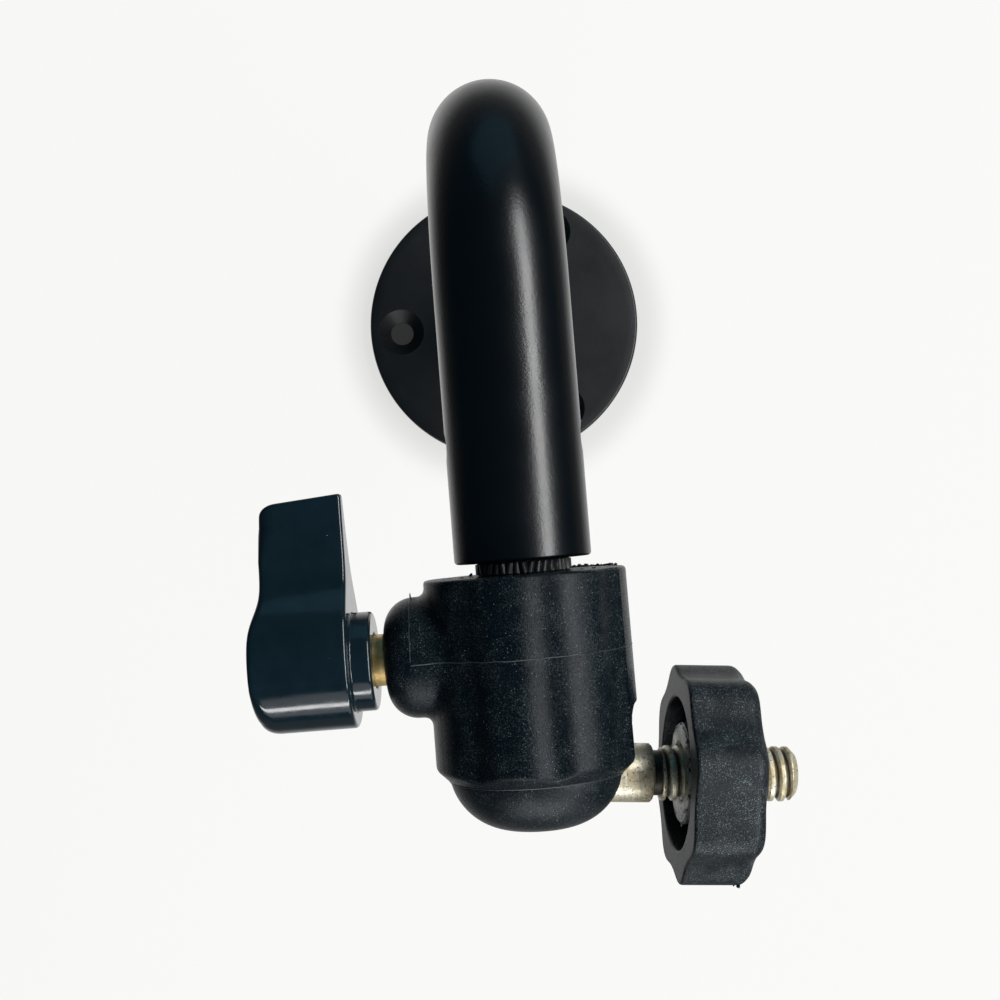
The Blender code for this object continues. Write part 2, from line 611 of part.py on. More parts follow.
build_base_plate()
build_spring_pin("base_spring_pin", (0, BASE_PIN_Y, 0))
build_tube()
build_tube_plug()
build_spring_pin("plug_spring_pin", (0, -REACH, PLUG_PIN_Z))
build_toothed_washer()
build_spindle()

head_pivot = add_pivot("head_swivel_axis", location=(0, -REACH, 0))
build_swivel_washers(head_pivot)
build_housing(head_pivot)
build_bottom_cap(head_pivot)
build_pressure_shoe(head_pivot)
build_clamp(head_pivot)
build_lever(add_pivot("lever_axis", head_pivot, location=(0, 0, LEVER_AXIS_Z)))

stud_pivot = add_pivot("stud_tilt_axis", head_pivot, (0, 0, BALL_Z),
                       (0, STUD_REST_TILT, STUD_REST_SWING))
build_ball(stud_pivot)
build_stud(stud_pivot)
build_wheel(stud_pivot)
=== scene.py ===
"""Looks of the umbrella swivel bracket: fine meshes, materials, light and camera around its CAD frame.

Fine meshes are made in millimetres in a local frame of their own, then placed in the row frame.
"""

import json
import math

import bmesh
import bpy
import numpy as np
from mathutils import Euler, Matrix, Quaternion, Vector


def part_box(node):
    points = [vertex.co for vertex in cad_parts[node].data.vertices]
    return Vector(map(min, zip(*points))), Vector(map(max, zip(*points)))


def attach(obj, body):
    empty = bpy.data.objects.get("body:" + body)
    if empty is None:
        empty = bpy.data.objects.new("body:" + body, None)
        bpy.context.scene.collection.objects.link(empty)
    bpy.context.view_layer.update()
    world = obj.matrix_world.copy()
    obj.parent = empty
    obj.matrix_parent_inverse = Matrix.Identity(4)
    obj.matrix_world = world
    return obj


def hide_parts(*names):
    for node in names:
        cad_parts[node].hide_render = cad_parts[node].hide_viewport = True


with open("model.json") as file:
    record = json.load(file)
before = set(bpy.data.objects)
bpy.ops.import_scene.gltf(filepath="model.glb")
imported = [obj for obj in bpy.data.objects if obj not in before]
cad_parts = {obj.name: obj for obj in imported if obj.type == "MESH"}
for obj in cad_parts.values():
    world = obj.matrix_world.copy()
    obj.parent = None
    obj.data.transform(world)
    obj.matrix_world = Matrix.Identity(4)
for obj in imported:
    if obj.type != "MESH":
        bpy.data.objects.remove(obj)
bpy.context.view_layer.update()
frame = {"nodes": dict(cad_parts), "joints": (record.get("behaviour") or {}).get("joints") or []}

# ---- sizes from the frame, in mm
MM = 0.001
JOINTS = {joint["name"]: joint for joint in frame["joints"]}


def box_mm(node):
    """A CAD node's lowest and highest corner in millimetres."""
    low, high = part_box(node)
    return low / MM, high / MM


_, PLATE_HIGH = box_mm("base_plate")
TUBE_LOW, TUBE_HIGH = box_mm("bent_tube")
HEAD_LOW, HEAD_HIGH = box_mm("head_housing")
CAP_LOW, CAP_HIGH = box_mm("bottom_cap")
LEVER_LOW, LEVER_HIGH = box_mm("lever")
_, WASHER_HIGH = box_mm("toothed_washer")

LEG_Y = JOINTS["head_swivel"]["pos_m"][1] / MM
CLAMP_Z = JOINTS["lever_turn"]["pos_m"][2] / MM
BALL_Z = JOINTS["stud_tilt"]["pos_m"][2] / MM
STUD_AXIS = Vector(JOINTS["stud_spin"]["axis"])
STUD_TILT = math.asin(-STUD_AXIS.z)
STUD_SWING = math.atan2(STUD_AXIS.y, STUD_AXIS.x)

# Local frames: the head's stands on the hanging leg's axis, the stud's on the ball's centre
HEAD_FRAME = Matrix.Translation((0, LEG_Y, 0))
LEVER_FRAME = Matrix.Translation((0, LEG_Y, CLAMP_Z))
STUD_FRAME = Matrix.Translation((0, LEG_Y, BALL_Z))
STUD_FRAME = STUD_FRAME @ Euler((0, STUD_TILT, STUD_SWING)).to_matrix().to_4x4()

# Wall plate
PLATE_RADIUS = PLATE_HIGH.x
PLATE_THICKNESS = 3.0
BOLT_CIRCLE = 25.0
BOLT_HOLE = 2.75
COUNTERSINK = 5.5

# Bent tube
TUBE_RADIUS = TUBE_HIGH.x
TUBE_WALL = 1.2
TUBE_END = TUBE_LOW.z
BEND_RADIUS = 24.0

# Head
BARREL_TOP = HEAD_HIGH.z
BARREL_BOTTOM = HEAD_LOW.z
BARREL_RADIUS = 11.8
BARREL_LOWER_RADIUS = 11.9
CAVITY_RADIUS = 9.4
CAVITY_TOP = -58.7
SPINDLE_HOLE = 4.0
FLUTE_PITCH = math.radians(45)
FLUTE_WIDTH = math.radians(9.5)
FLUTE_TURN = math.radians(8.5)
FLUTE_DEPTH = (0.42, 0.66)          # at the barrel's top and at its bottom
FLUTED = 0.9                        # no flutes where the angle's sine is larger: at boss and slot
SLOT_HALF = 4.65
SLOT_TOP = -72.3
SLOT_CORNER = 2.0
SLOT_START = 5.0                    # the slot is cut only beyond this X
BOSS_RADIUS = 7.0
BOSS_REACH = -HEAD_LOW.x
BOSS_CORNER = 3.5
NUT_HALF = 5.3
NUT_OUTER = -13.8
SCREW_HOLE_END = -20.0
HOLES_INSIDE = -5.0                 # an X inside the cavity, where the screw's and nut's holes end
GAP = 0.3                           # round the screw, the cap's spigot and the ball
CAP_RADIUS = 10.5
CAP_BOTTOM = CAP_LOW.z
CAP_CORNER = 7.2
CAP_CROWN = 23.0
CAP_SLOT_HALF = 4.5
BALL_RADIUS = 5.5

# Lever and screw
LEVER_OUTER = LEVER_LOW.x
COLLAR_END = LEVER_HIGH.x
LEVER_INNER = -20.4
LEVER_SWELL = 1.3                   # how far the hub's outer end stands out beyond the paddle's
LEVER_TIP = LEVER_HIGH.z - CLAMP_Z
HUB_RADIUS = 7.6
COLLAR_RADIUS = 5.75
COLLAR_MIDDLE = -22.0
SCREW_RADIUS = 3.0
SCREW_PITCH = 1.0
SCREW_END = -25.5
SCREW_STEP = (-19.2, -18.8)         # a shallow turned groove
SCREW_STEP_DEPTH = 0.1
SCREW_THREAD = (-17.0, -6.0)
SCREW_THREAD_DEPTH = 0.3
SCREW_TIP = -3.3

# Stud, insert and hand wheel, along the stud's axis from the ball's centre
STUD_PLAIN_RADIUS = 3.4
STUD_GROOVE = (13.0, 14.0)
STUD_GROOVE_RADIUS = 2.6
STUD_SHOULDER = 5.05                # where the stud leaves the ball
TANG_RADIUS = 2.5
TANG_END = -0.7
TANG_BORE = 2.8
STUD_END = 29.8
THREAD_RADIUS = 3.175
THREAD_PITCH = 1.27
THREAD_DEPTH = 0.44
TIP_CHAMFER = 0.75
WHEEL_FACE = 15.9
WHEEL_BACK = 24.1
WHEEL_RADIUS = 12.65
WHEEL_LOBES = 8
WHEEL_LOBE_DEPTH = 1.1
WHEEL_PITCH = 2 * math.pi / WHEEL_LOBES
WHEEL_LOBE_PHASE = math.radians(31.4)
RECESS_RADIUS = 8.8
RECESS_DEPTH = 6.0
INSERT_RADIUS = 5.85
INSERT_FACE = 16.3
INSERT_END = 23.7


# ---- mesh tools
LEAST_SLOPE = 0.05                  # keeps a step over a crease finite
TINY = 1e-9


def new_object(name, data):
    """An object in the scene."""
    made = bpy.data.objects.new(name, data)
    bpy.context.scene.collection.objects.link(made)
    return made


def place_mesh(name, points, faces, body, slot, material, local=Matrix.Identity(4), normals=None,
               stands_for=()):
    """Make a piece from points in mm in a local frame, and let it ride on a CAD body."""
    mesh = bpy.data.meshes.new(name)
    rotation = np.array(local.to_3x3())
    world = (np.asarray(points, float) @ rotation.T + np.array(local.translation)) * MM
    mesh.from_pydata(world.tolist(), [], [list(map(int, face)) for face in faces])
    mesh.validate()
    mesh.shade_smooth()
    if normals is not None:
        mesh.normals_split_custom_set_from_vertices((np.asarray(normals) @ rotation.T).tolist())
    mesh.materials.append(material)
    piece = new_object(name, mesh)
    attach(piece, body)
    if stands_for:
        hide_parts(*stands_for)
    return piece


def smooth_max(a, b, k):
    """The larger of two distances, rounded over about k: an outer edge with a radius."""
    h = np.maximum(k - np.abs(a - b), 0) / k
    return np.maximum(a, b) + h * h * k / 4


def smooth_min(a, b, k):
    """The smaller of two distances, filled over about k: a fillet."""
    return -smooth_max(-a, -b, k)


def net_faces(inside, cell_index):
    """The quads of a surface net: one around each grid edge that crosses the surface."""
    quads = []
    for axis in range(3):
        first = np.moveaxis(inside, axis, 0)
        cells = np.moveaxis(cell_index, axis, 0)
        crosses = first[:-1, 1:-1, 1:-1] != first[1:, 1:-1, 1:-1]
        i, j, k = np.nonzero(crosses)
        ring = np.stack([cells[i, j, k], cells[i, j + 1, k], cells[i, j + 1, k + 1],
                         cells[i, j, k + 1]], axis=1)
        leaves = first[:-1, 1:-1, 1:-1][i, j, k]
        if axis == 1:
            leaves = ~leaves
        ring[~leaves] = ring[~leaves][:, ::-1]
        quads.append(ring)
    return np.concatenate(quads)


def field_gradient(field, points, step=0.02):
    """A field's slope at some points, from its values a little to either side."""
    columns = []
    for axis in range(3):
        shift = np.zeros(3)
        shift[axis] = step
        ahead = field(*(points + shift).T)
        behind = field(*(points - shift).T)
        columns.append((ahead - behind) / (2 * step))
    return np.stack(columns, axis=1)


def settle(field, points, rounds, longest=math.inf):
    """Move points onto a field's surface, in steps no longer than given, and find the normals there."""
    points = np.array(points, float)
    for _ in range(rounds):
        slope = field_gradient(field, points)
        steep = np.maximum((slope * slope).sum(1), LEAST_SLOPE)
        move = -(field(*points.T) / steep)[:, None] * slope
        length = np.maximum(np.linalg.norm(move, axis=1), TINY)
        points += move * np.minimum(1, longest / length)[:, None]
    normals = field_gradient(field, points)
    return points, normals / np.maximum(np.linalg.norm(normals, axis=1), TINY)[:, None]


def field_piece(name, field, low, high, cell, **how):
    """A piece whose surface is where field(x, y, z) is zero, negative inside, in cells of this size."""
    axes = [np.arange(a - 2 * cell, b + 3 * cell, cell) for a, b in zip(low, high)]
    x, y, z = np.meshgrid(*axes, indexing="ij", sparse=True)
    values = field(x, y, z)
    inside = values < 0
    corners = [(i, j, k) for i in (0, 1) for j in (0, 1) for k in (0, 1)]
    nx, ny, nz = inside.shape
    count = np.zeros((nx - 1, ny - 1, nz - 1), np.int8)
    for i, j, k in corners:
        count += inside[i:nx - 1 + i, j:ny - 1 + j, k:nz - 1 + k]
    mixed = (count > 0) & (count < 8)
    cells = np.argwhere(mixed)
    cell_index = np.full(mixed.shape, -1, np.int64)
    cell_index[mixed] = np.arange(len(cells))
    at_corner = [values[tuple((cells + corner).T)] for corner in corners]
    total = np.zeros((len(cells), 3))
    hits = np.zeros(len(cells))
    for a in range(8):
        for b in range(a + 1, 8):
            difference = np.subtract(corners[b], corners[a])
            if np.abs(difference).sum() != 1:
                continue
            crossed = (at_corner[a] < 0) != (at_corner[b] < 0)
            share = at_corner[a][crossed] / (at_corner[a][crossed] - at_corner[b][crossed])
            total[crossed] += np.array(corners[a]) + share[:, None] * difference
            hits[crossed] += 1
    origin = np.array([axis[0] for axis in axes])
    points = origin + (cells + total / hits[:, None]) * cell
    points, normals = settle(field, points, 4, 0.5 * cell)
    return place_mesh(name, points, net_faces(inside, cell_index), normals=normals, **how)


def grid_faces(rows, columns, closed_rows=False):
    """Quads between the points of a grid whose columns run round."""
    faces = []
    for i in range(rows if closed_rows else rows - 1):
        here, ahead = i * columns, (i + 1) % rows * columns
        for j in range(columns):
            k = (j + 1) % columns
            faces.append((here + j, here + k, ahead + k, ahead + j))
    return faces


def straight(height):
    """The centre line of a plain turned part, along local X, with the two directions across it."""
    return np.stack([height, 0 * height, 0 * height], -1), np.array((0, 1, 0)), np.array((0, 0, 1))


def turned_piece(name, profile, steps, body, slot, material, local=Matrix.Identity(4), vary=None,
                 path=straight, closed=False, stands_for=(), smooth_angle=38):
    """Turn (radius, height) points about a centre line; vary(height, angle, radius) may change radii.

    With height to the right and radius up, the points run clockwise round the solid."""
    angles = np.linspace(0, 2 * math.pi, steps, endpoint=False)
    radius, height = (np.array(column)[:, None] + 0 * angles for column in zip(*profile))
    if vary is not None:
        radius = vary(height, angles + 0 * height, radius)
    centre, first, second = path(height)
    around = np.cos(angles)[:, None] * first + np.sin(angles)[:, None] * second
    points = (centre + radius[..., None] * around).reshape(-1, 3)
    faces = grid_faces(len(profile), steps, closed_rows=closed)
    piece = place_mesh(name, points, faces, body, slot, material, local=local, stands_for=stands_for)
    form = bmesh.new()
    form.from_mesh(piece.data)
    bmesh.ops.remove_doubles(form, verts=form.verts, dist=1e-7)
    form.to_mesh(piece.data)
    form.free()
    piece.data.set_sharp_from_angle(angle=math.radians(smooth_angle))
    return piece


def arc(centre, radius, start, end, count):
    """Points on an arc in the plane, its angles in degrees."""
    angles = np.radians(np.linspace(start, end, count + 1))
    return [(centre[0] + radius * math.cos(a), centre[1] + radius * math.sin(a)) for a in angles]


def cut(piece, cutter):
    """Cut one mesh from another for good."""
    boolean = piece.modifiers.new("cut", "BOOLEAN")
    boolean.object = cutter
    boolean.solver = "EXACT"
    graph = bpy.context.evaluated_depsgraph_get()
    mesh = bpy.data.meshes.new_from_object(piece.evaluated_get(graph))
    piece.modifiers.clear()
    piece.data = mesh
    bpy.data.objects.remove(cutter, do_unlink=True)


def cutter_rod(profile, steps, local):
    """A closed turned solid about local X, used only to cut."""
    mesh = bpy.data.meshes.new("cutter")
    angles = np.linspace(0, 2 * math.pi, steps, endpoint=False)
    points = [(h * MM, r * MM * math.cos(a), r * MM * math.sin(a)) for r, h in profile for a in angles]
    faces = grid_faces(len(profile), steps)
    faces.append(tuple(range(steps))[::-1])
    faces.append(tuple(range(steps * (len(profile) - 1), steps * len(profile))))
    mesh.from_pydata(points, [], faces)
    mesh.transform(Matrix.Translation(local.translation * MM) @ local.to_3x3().to_4x4())
    return new_object("cutter", mesh)


# ---- finishes
def add_node(tree, kind, inputs=None, **settings):
    """A new shader node, its inputs linked or set."""
    made = tree.nodes.new("ShaderNode" + kind)
    for setting, value in settings.items():
        setattr(made, setting, value)
    for socket, value in (inputs or {}).items():
        if isinstance(value, bpy.types.NodeSocket):
            tree.links.new(value, made.inputs[socket])
        else:
            made.inputs[socket].default_value = value
    return made


class Finish:
    """A material being built: a Principled shader and the patterns that feed it, in object space."""

    def __init__(self, name, **uniform):
        self.material = bpy.data.materials.new(name)
        self.material.use_nodes = True
        self.tree = self.material.node_tree
        self.shader = self.tree.nodes["Principled BSDF"]
        self.place = self.add("TexCoord").outputs["Object"]
        self.normal = None
        for socket, value in uniform.items():
            self.set(socket.replace("_", " "), value)

    def add(self, *what, **settings):
        return add_node(self.tree, *what, **settings)

    def set(self, socket, value):
        """Link or set one of the shader's inputs."""
        if isinstance(value, bpy.types.NodeSocket):
            self.tree.links.new(value, self.shader.inputs[socket])
        else:
            self.shader.inputs[socket].default_value = value

    def stretched(self, x, y, z):
        """The object's space, squeezed so that a pattern comes out longer along some axes."""
        return self.add("Mapping", {"Vector": self.place, "Scale": (1 / x, 1 / y, 1 / z)}).outputs[0]

    def noise(self, size, detail=2.0, roughness=0.5, place=None):
        """Cloudy noise with features of about this size in mm, from 0 to 1."""
        inputs = {"Vector": place or self.place, "Scale": 1 / (size * MM), "Detail": detail,
                  "Roughness": roughness}
        return self.add("TexNoise", inputs).outputs["Fac"]

    def specks(self, spacing, size, share):
        """1 inside sparse round specks: their spacing and size in mm, and the share of them kept."""
        cells = self.add("TexVoronoi", {"Vector": self.place, "Scale": 1 / (spacing * MM)})
        near = self.steps(cells.outputs["Distance"], size / spacing, 0.6 * size / spacing)
        chance = self.add("SeparateColor", {"Color": cells.outputs["Color"]}).outputs[0]
        kept = self.steps(chance, share, share * 0.9)
        return self.maths("MULTIPLY", near, kept)

    def steps(self, value, low, high, out_low=0.0, out_high=1.0, **how):
        """Map low..high to out_low..out_high, clamped."""
        inputs = {"Value": value, "From Min": low, "From Max": high, "To Min": out_low,
                  "To Max": out_high}
        return self.add("MapRange", inputs, **how).outputs[0]

    def maths(self, operation, first, second):
        """One operation on two values."""
        return self.add("Math", {0: first, 1: second}, operation=operation).outputs[0]

    def blend(self, share, first, second):
        """Mix two colours, or a colour and a pattern."""
        inputs = {"Fac": share}
        for socket, value in (("Color1", first), ("Color2", second)):
            inputs[socket] = value if isinstance(value, bpy.types.NodeSocket) else (*value, 1)
        return self.add("MixRGB", inputs).outputs[0]

    def bump(self, height, depth):
        """Raise the surface by up to depth mm where height is 1."""
        inputs = {"Height": height, "Distance": depth * MM, "Strength": 1.0}
        if self.normal is not None:
            inputs["Normal"] = self.normal
        self.normal = self.add("Bump", inputs).outputs[0]
        self.set("Normal", self.normal)


def satin_paint(name, roughness):
    """Satin black powder paint: fine orange peel, slow changes of gloss, and a little dust."""
    finish = Finish(name, Specular_IOR_Level=0.5)
    cloud = finish.noise(9.0, 3)
    peel = finish.noise(0.60, 2)
    grain = finish.noise(0.22, 2)
    dust = finish.specks(2.4, 0.10, 0.10)
    black = finish.blend(cloud, (0.0006, 0.0012, 0.0018), (0.0014, 0.0022, 0.0030))
    finish.set("Base Color", finish.blend(dust, black, (0.30, 0.30, 0.28)))
    finish.set("Roughness", finish.steps(cloud, 0.3, 0.7, roughness, roughness + 0.06))
    finish.bump(peel, 0.010)
    finish.bump(grain, 0.014)
    return finish.material


def moulded_plastic(name, roughness, grain_depth, shine, worn, black=(0.0014, 0.0040, 0.0064)):
    """Glass-filled black plastic with a fine pitted grain, patchy where it is worn, with light specks
    painted on as the grain's glints.
    """
    finish = Finish(name, Specular_IOR_Level=shine)
    patches = finish.noise(2.6, 4, 0.6)
    pits = finish.noise(0.15, 2, 0.7)
    coarse = finish.noise(0.8, 2)
    tone = finish.blend(finish.steps(patches, 0.40, 0.68, 0, worn), black, (0.012, 0.017, 0.018))
    # Painted highlight: light specks on the pits stand in for the grain's glints; worn and the patches
    # set how many there are.
    glint_specks = finish.maths("MULTIPLY", finish.steps(pits, 0.56, 0.66, 0, worn),
                          finish.steps(patches, 0.38, 0.62, 0.3, 1.2))
    tone = finish.blend(glint_specks, tone, (0.150, 0.185, 0.195))
    dust = finish.specks(0.36, 0.055, 0.45)
    finish.set("Base Color", finish.blend(finish.maths("MULTIPLY", dust, 0.5), tone, (0.40, 0.44, 0.44)))
    finish.set("Roughness", finish.steps(pits, 0.35, 0.65, roughness, roughness + 0.12))
    finish.bump(coarse, 0.25 * grain_depth)
    finish.bump(pits, grain_depth)
    return finish.material


def glossy_plastic():
    """Polished black plastic: slightly wavy where it shrank in the mould, with fine dust."""
    finish = Finish("glossy_plastic", Specular_IOR_Level=0.6)
    wave = finish.noise(6.0, 1)
    haze = finish.noise(1.4, 3)
    grain = finish.noise(0.20, 2)
    dust = finish.specks(1.4, 0.055, 0.16)
    black = finish.blend(finish.noise(3.0, 3, 0.6), (0.0022, 0.0075, 0.0115), (0.0072, 0.0165, 0.0230))
    finish.set("Base Color", finish.blend(dust, black, (0.25, 0.25, 0.25)))
    finish.set("Roughness", finish.steps(haze, 0.3, 0.7, 0.10, 0.17))
    finish.bump(wave, 0.05)
    finish.bump(grain, 0.002)
    return finish.material


def turned_metal(name, bright, dull, roughness, stain=None, pitted=0.0, dirty_shaded_roots=False, metallic=1.0):
    """Bare or plated metal with turning marks round local X, stains, small dark pits, and roots darkened
    with dirt and painted shade.
    """
    finish = Finish(name, Metallic=metallic)
    cloud = finish.noise(2.2, 4, 0.6)
    lines = finish.noise(0.25, 2, 0.6, finish.stretched(1, 12, 12))
    tone = finish.blend(finish.steps(lines, 0.35, 0.65), dull, bright)
    if stain is not None:
        tone = finish.blend(finish.steps(cloud, 0.46, 0.62, 0, 0.8), tone, stain)
    if pitted:
        pits = finish.noise(0.32, 3, 0.7)
        tone = finish.blend(finish.steps(pits, 0.57, 0.64, 0, pitted), tone, (0.030, 0.024, 0.018))
        finish.bump(pits, 0.03)
    if dirty_shaded_roots:
        # Dirt and painted shade: the roots' mask from the mesh darkens the tone.
        roots_dirt_shade = finish.add("Attribute", attribute_name="roots_dirt_shade").outputs["Fac"]
        tone = finish.blend(roots_dirt_shade, tone, (0.012, 0.010, 0.008))
    finish.set("Base Color", tone)
    finish.set("Roughness", finish.steps(cloud, 0.3, 0.7, roughness, roughness + 0.18))
    finish.bump(lines, 0.006)
    return finish.material


def cloudy(name, dark, light, roughness, size=1.8, **uniform):
    """A plain solid with soft changes of tone and a fine grain."""
    finish = Finish(name, **uniform)
    cloud = finish.noise(size, 4, 0.6)
    grain = finish.noise(0.2, 2)
    finish.set("Base Color", finish.blend(cloud, dark, light))
    finish.set("Roughness", finish.steps(grain, 0.3, 0.7, roughness, roughness + 0.15))
    finish.bump(grain, 0.008)
    return finish.material


TUBE_PAINT = satin_paint("satin_paint", 0.235)
PLATE_PAINT = satin_paint("plate_paint", 0.38)
HOUSING_PLASTIC = moulded_plastic("housing_plastic", 0.23, 0.050, 0.17, 0.30)
CAP_PLASTIC = moulded_plastic("cap_plastic", 0.28, 0.045, 0.27, 0.40)
WHEEL_PLASTIC = moulded_plastic("wheel_plastic", 0.38, 0.060, 0.28, 0.8, (0.0016, 0.0040, 0.0066))
LEVER_PLASTIC = glossy_plastic()
BRASS = turned_metal("brass", (1.0, 0.78, 0.38), (0.82, 0.60, 0.24), 0.36, stain=(0.55, 0.38, 0.14),
                     metallic=0.65)
NICKEL = turned_metal("stained_nickel", (0.86, 0.80, 0.62), (0.60, 0.55, 0.42), 0.34,
                      stain=(0.44, 0.35, 0.18), pitted=0.85, dirty_shaded_roots=True, metallic=0.55)
INSERT_METAL = turned_metal("cast_insert", (0.46, 0.46, 0.45), (0.22, 0.22, 0.21), 0.46, pitted=0.95)
STEEL = turned_metal("dull_steel", (0.34, 0.34, 0.35), (0.22, 0.22, 0.23), 0.38)
BLACKENED = cloudy("blackened_steel", (0.002, 0.003, 0.004), (0.040, 0.044, 0.044), 0.36, size=0.5)
# Painted highlight: a lighter tone for the mould lines and the cap's joint, for the pale light they
# catch.
LINE_HIGHLIGHT_PAINT = cloudy("painted_line_highlight", (0.002, 0.004, 0.006), (0.046, 0.056, 0.058), 0.34, size=0.6)
NYLON = cloudy("nylon", (0.62, 0.60, 0.54), (0.72, 0.70, 0.65), 0.45, Subsurface_Weight=0.1)


# ---- wall plate and tube
TO_WALL = Matrix(((0, 1, 0, 0), (-1, 0, 0, 0), (0, 0, 1, 0), (0, 0, 0, 1)))   # local X leaves the wall
PLATE_ROUND = 0.6
PLATE_FOOT_ROUND = 0.3
SINK_LIP = (0.25, 0.05)             # how the countersink's cutter widens as it leaves the plate
SPIGOT_RADIUS = 6.5
SPIGOT_LENGTH = 14.0
SPIGOT_CHAMFER = 0.3
TUBE_RIM = 0.45
TUBE_INNER_CHAMFER = 0.2
PIN_HOLE = 1.8
BASE_PIN_Y = -10.0
PLUG_PIN_Z = -41.3
CLEAR = 0.02                        # left between pieces that touch on the real object
PAST = 1.0                          # how far a cutter runs past the surface
HOLE_COUNT = 3
BEND_START = -LEG_Y - BEND_RADIUS
BEND_END = BEND_START + BEND_RADIUS * math.pi / 2


def make_plate():
    """The round wall plate with its countersunk holes."""
    rim = PLATE_RADIUS - PLATE_ROUND
    spigot_end = PLATE_THICKNESS + SPIGOT_LENGTH
    faces = [(radius, PLATE_THICKNESS) for radius in np.linspace(rim, SPIGOT_RADIUS, 14)[1:]]
    foot = PLATE_RADIUS - PLATE_FOOT_ROUND
    profile = [(0, 0), (foot, 0), *arc((foot, PLATE_FOOT_ROUND), PLATE_FOOT_ROUND, -90, 0, 3),
               *arc((rim, PLATE_THICKNESS - PLATE_ROUND), PLATE_ROUND, 0, 90, 6), *faces,
               (SPIGOT_RADIUS, spigot_end - SPIGOT_CHAMFER), (SPIGOT_RADIUS - SPIGOT_CHAMFER, spigot_end),
               (0, spigot_end)]
    plate = turned_piece("wall_plate", profile, 192, "wall_arm", "plate_paint", PLATE_PAINT,
                         local=TO_WALL, stands_for=["base_plate"])
    deep = PLATE_THICKNESS - (COUNTERSINK - BOLT_HOLE)
    lip = COUNTERSINK + SINK_LIP[0]
    sink = [(0, -PAST), (BOLT_HOLE, -PAST), (BOLT_HOLE, deep), (COUNTERSINK, PLATE_THICKNESS),
            (lip, PLATE_THICKNESS + SINK_LIP[1]), (lip, PLATE_THICKNESS + PAST),
            (0, PLATE_THICKNESS + PAST)]
    for i in range(HOLE_COUNT):
        angle = math.pi + 2 * math.pi * i / HOLE_COUNT
        place = Matrix.Translation((BOLT_CIRCLE * math.cos(angle), 0, BOLT_CIRCLE * math.sin(angle)))
        cut(plate, cutter_rod(sink, 64, place @ TO_WALL))
    cut(plate, pin_cutter(BASE_PIN_Y, 0))
    plate.data.set_sharp_from_angle(angle=math.radians(35))


def pin_cutter(y, z):
    """A rod across the tube, along X, for a spring pin's hole."""
    ends = 2 * TUBE_RADIUS
    profile = [(0, -ends), (PIN_HOLE, -ends), (PIN_HOLE, ends), (0, ends)]
    return cutter_rod(profile, 40, Matrix.Translation((0, y, z)))


def tube_path(length):
    """Centre line of the tube: out from the wall, round the bend and down, with its cross directions."""
    turn = np.clip((length - BEND_START) / BEND_RADIUS, 0, math.pi / 2)
    out = np.minimum(length, BEND_START)
    down = np.maximum(length - BEND_END, 0)
    y = -(out + BEND_RADIUS * np.sin(turn))
    z = -BEND_RADIUS * (1 - np.cos(turn)) - down
    centre = np.stack([0 * length, y, z], -1)
    across = np.array((1, 0, 0))
    up = np.stack([0 * length, -np.sin(turn), np.cos(turn)], -1)
    return centre, across, up


def make_tube():
    """The bent tube, with rounded rims, and the pin holes at both ends."""
    start = PLATE_THICKNESS + CLEAR
    end = BEND_END - BEND_RADIUS - TUBE_END
    inside = TUBE_RADIUS - TUBE_WALL
    middle = [*np.linspace(start + TUBE_RIM, BEND_START, 60)[:-1],
              *np.linspace(BEND_START, BEND_END, 60)[:-1], *np.linspace(BEND_END, end - TUBE_RIM, 16)]
    outer = [(TUBE_RADIUS, height) for height in middle]
    inner = [(inside, height) for height in middle[::-3]]
    rim = TUBE_RADIUS - TUBE_RIM
    start_rim = arc((rim, start + TUBE_RIM), TUBE_RIM, -90, 0, 5)[:-1]
    end_rim = arc((rim, end - TUBE_RIM), TUBE_RIM, 0, 90, 5)[1:]
    profile = [(inside, start), *start_rim, *outer, *end_rim, (inside + TUBE_INNER_CHAMFER, end),
               (inside, end - TUBE_INNER_CHAMFER), *inner[1:-1]]
    tube = turned_piece("arm_tube", profile, 112, "wall_arm", "tube_paint", TUBE_PAINT, path=tube_path,
                        closed=True, stands_for=["bent_tube"])
    cut(tube, pin_cutter(BASE_PIN_Y, 0))
    cut(tube, pin_cutter(LEG_Y, PLUG_PIN_Z))
    tube.data.set_sharp_from_angle(angle=math.radians(38))


# ---- head
# Edge roundings and fillets
BARREL_ROUND = 0.5
CHAMFER_ROUND = 0.3
BOSS_FILLET = 1.1
JOINT_ROUND = 0.05                  # where the barrel and the cap meet
CAVITY_FILLET = 0.6
CAVITY_MOUTH_ROUND = 0.25
SPINDLE_MOUTH_ROUND = 0.35
SCREW_MOUTH_ROUND = 0.2
SLOT_MOUTH_ROUND = 0.4
CAP_SLOT_ROUND = 0.5

# The cap's spigot in the barrel, from the ball's centre
CAP_SPIGOT_ABOVE = 2.0
CAP_SPIGOT_BELOW = 3.0

# Cell sizes of the field surfaces
HOUSING_CELL = 0.25
CAP_CELL = 0.22
LEVER_CELL = 0.2
WHEEL_CELL = 0.21

ON_HEAD = {"body": "head", "slot": "moulded_plastic", "local": HEAD_FRAME}
ON_WHEEL = {"body": "wheel", "slot": "wheel_plastic", "local": STUD_FRAME, "material": WHEEL_PLASTIC}


def rod_distance(x, y, z, radius, low, high):
    """Distance to a rod along X."""
    return np.maximum(np.hypot(y, z) - radius, np.maximum(low - x, x - high))


def slot_distance(y, z, half, top, corner):
    """Distance to a slot with rounded upper corners that runs down without end, seen along X."""
    aside = np.abs(y) - half + corner
    above = z - top + corner
    outside = np.hypot(np.maximum(aside, 0), np.maximum(above, 0))
    return outside + np.minimum(np.maximum(aside, above), 0) - corner


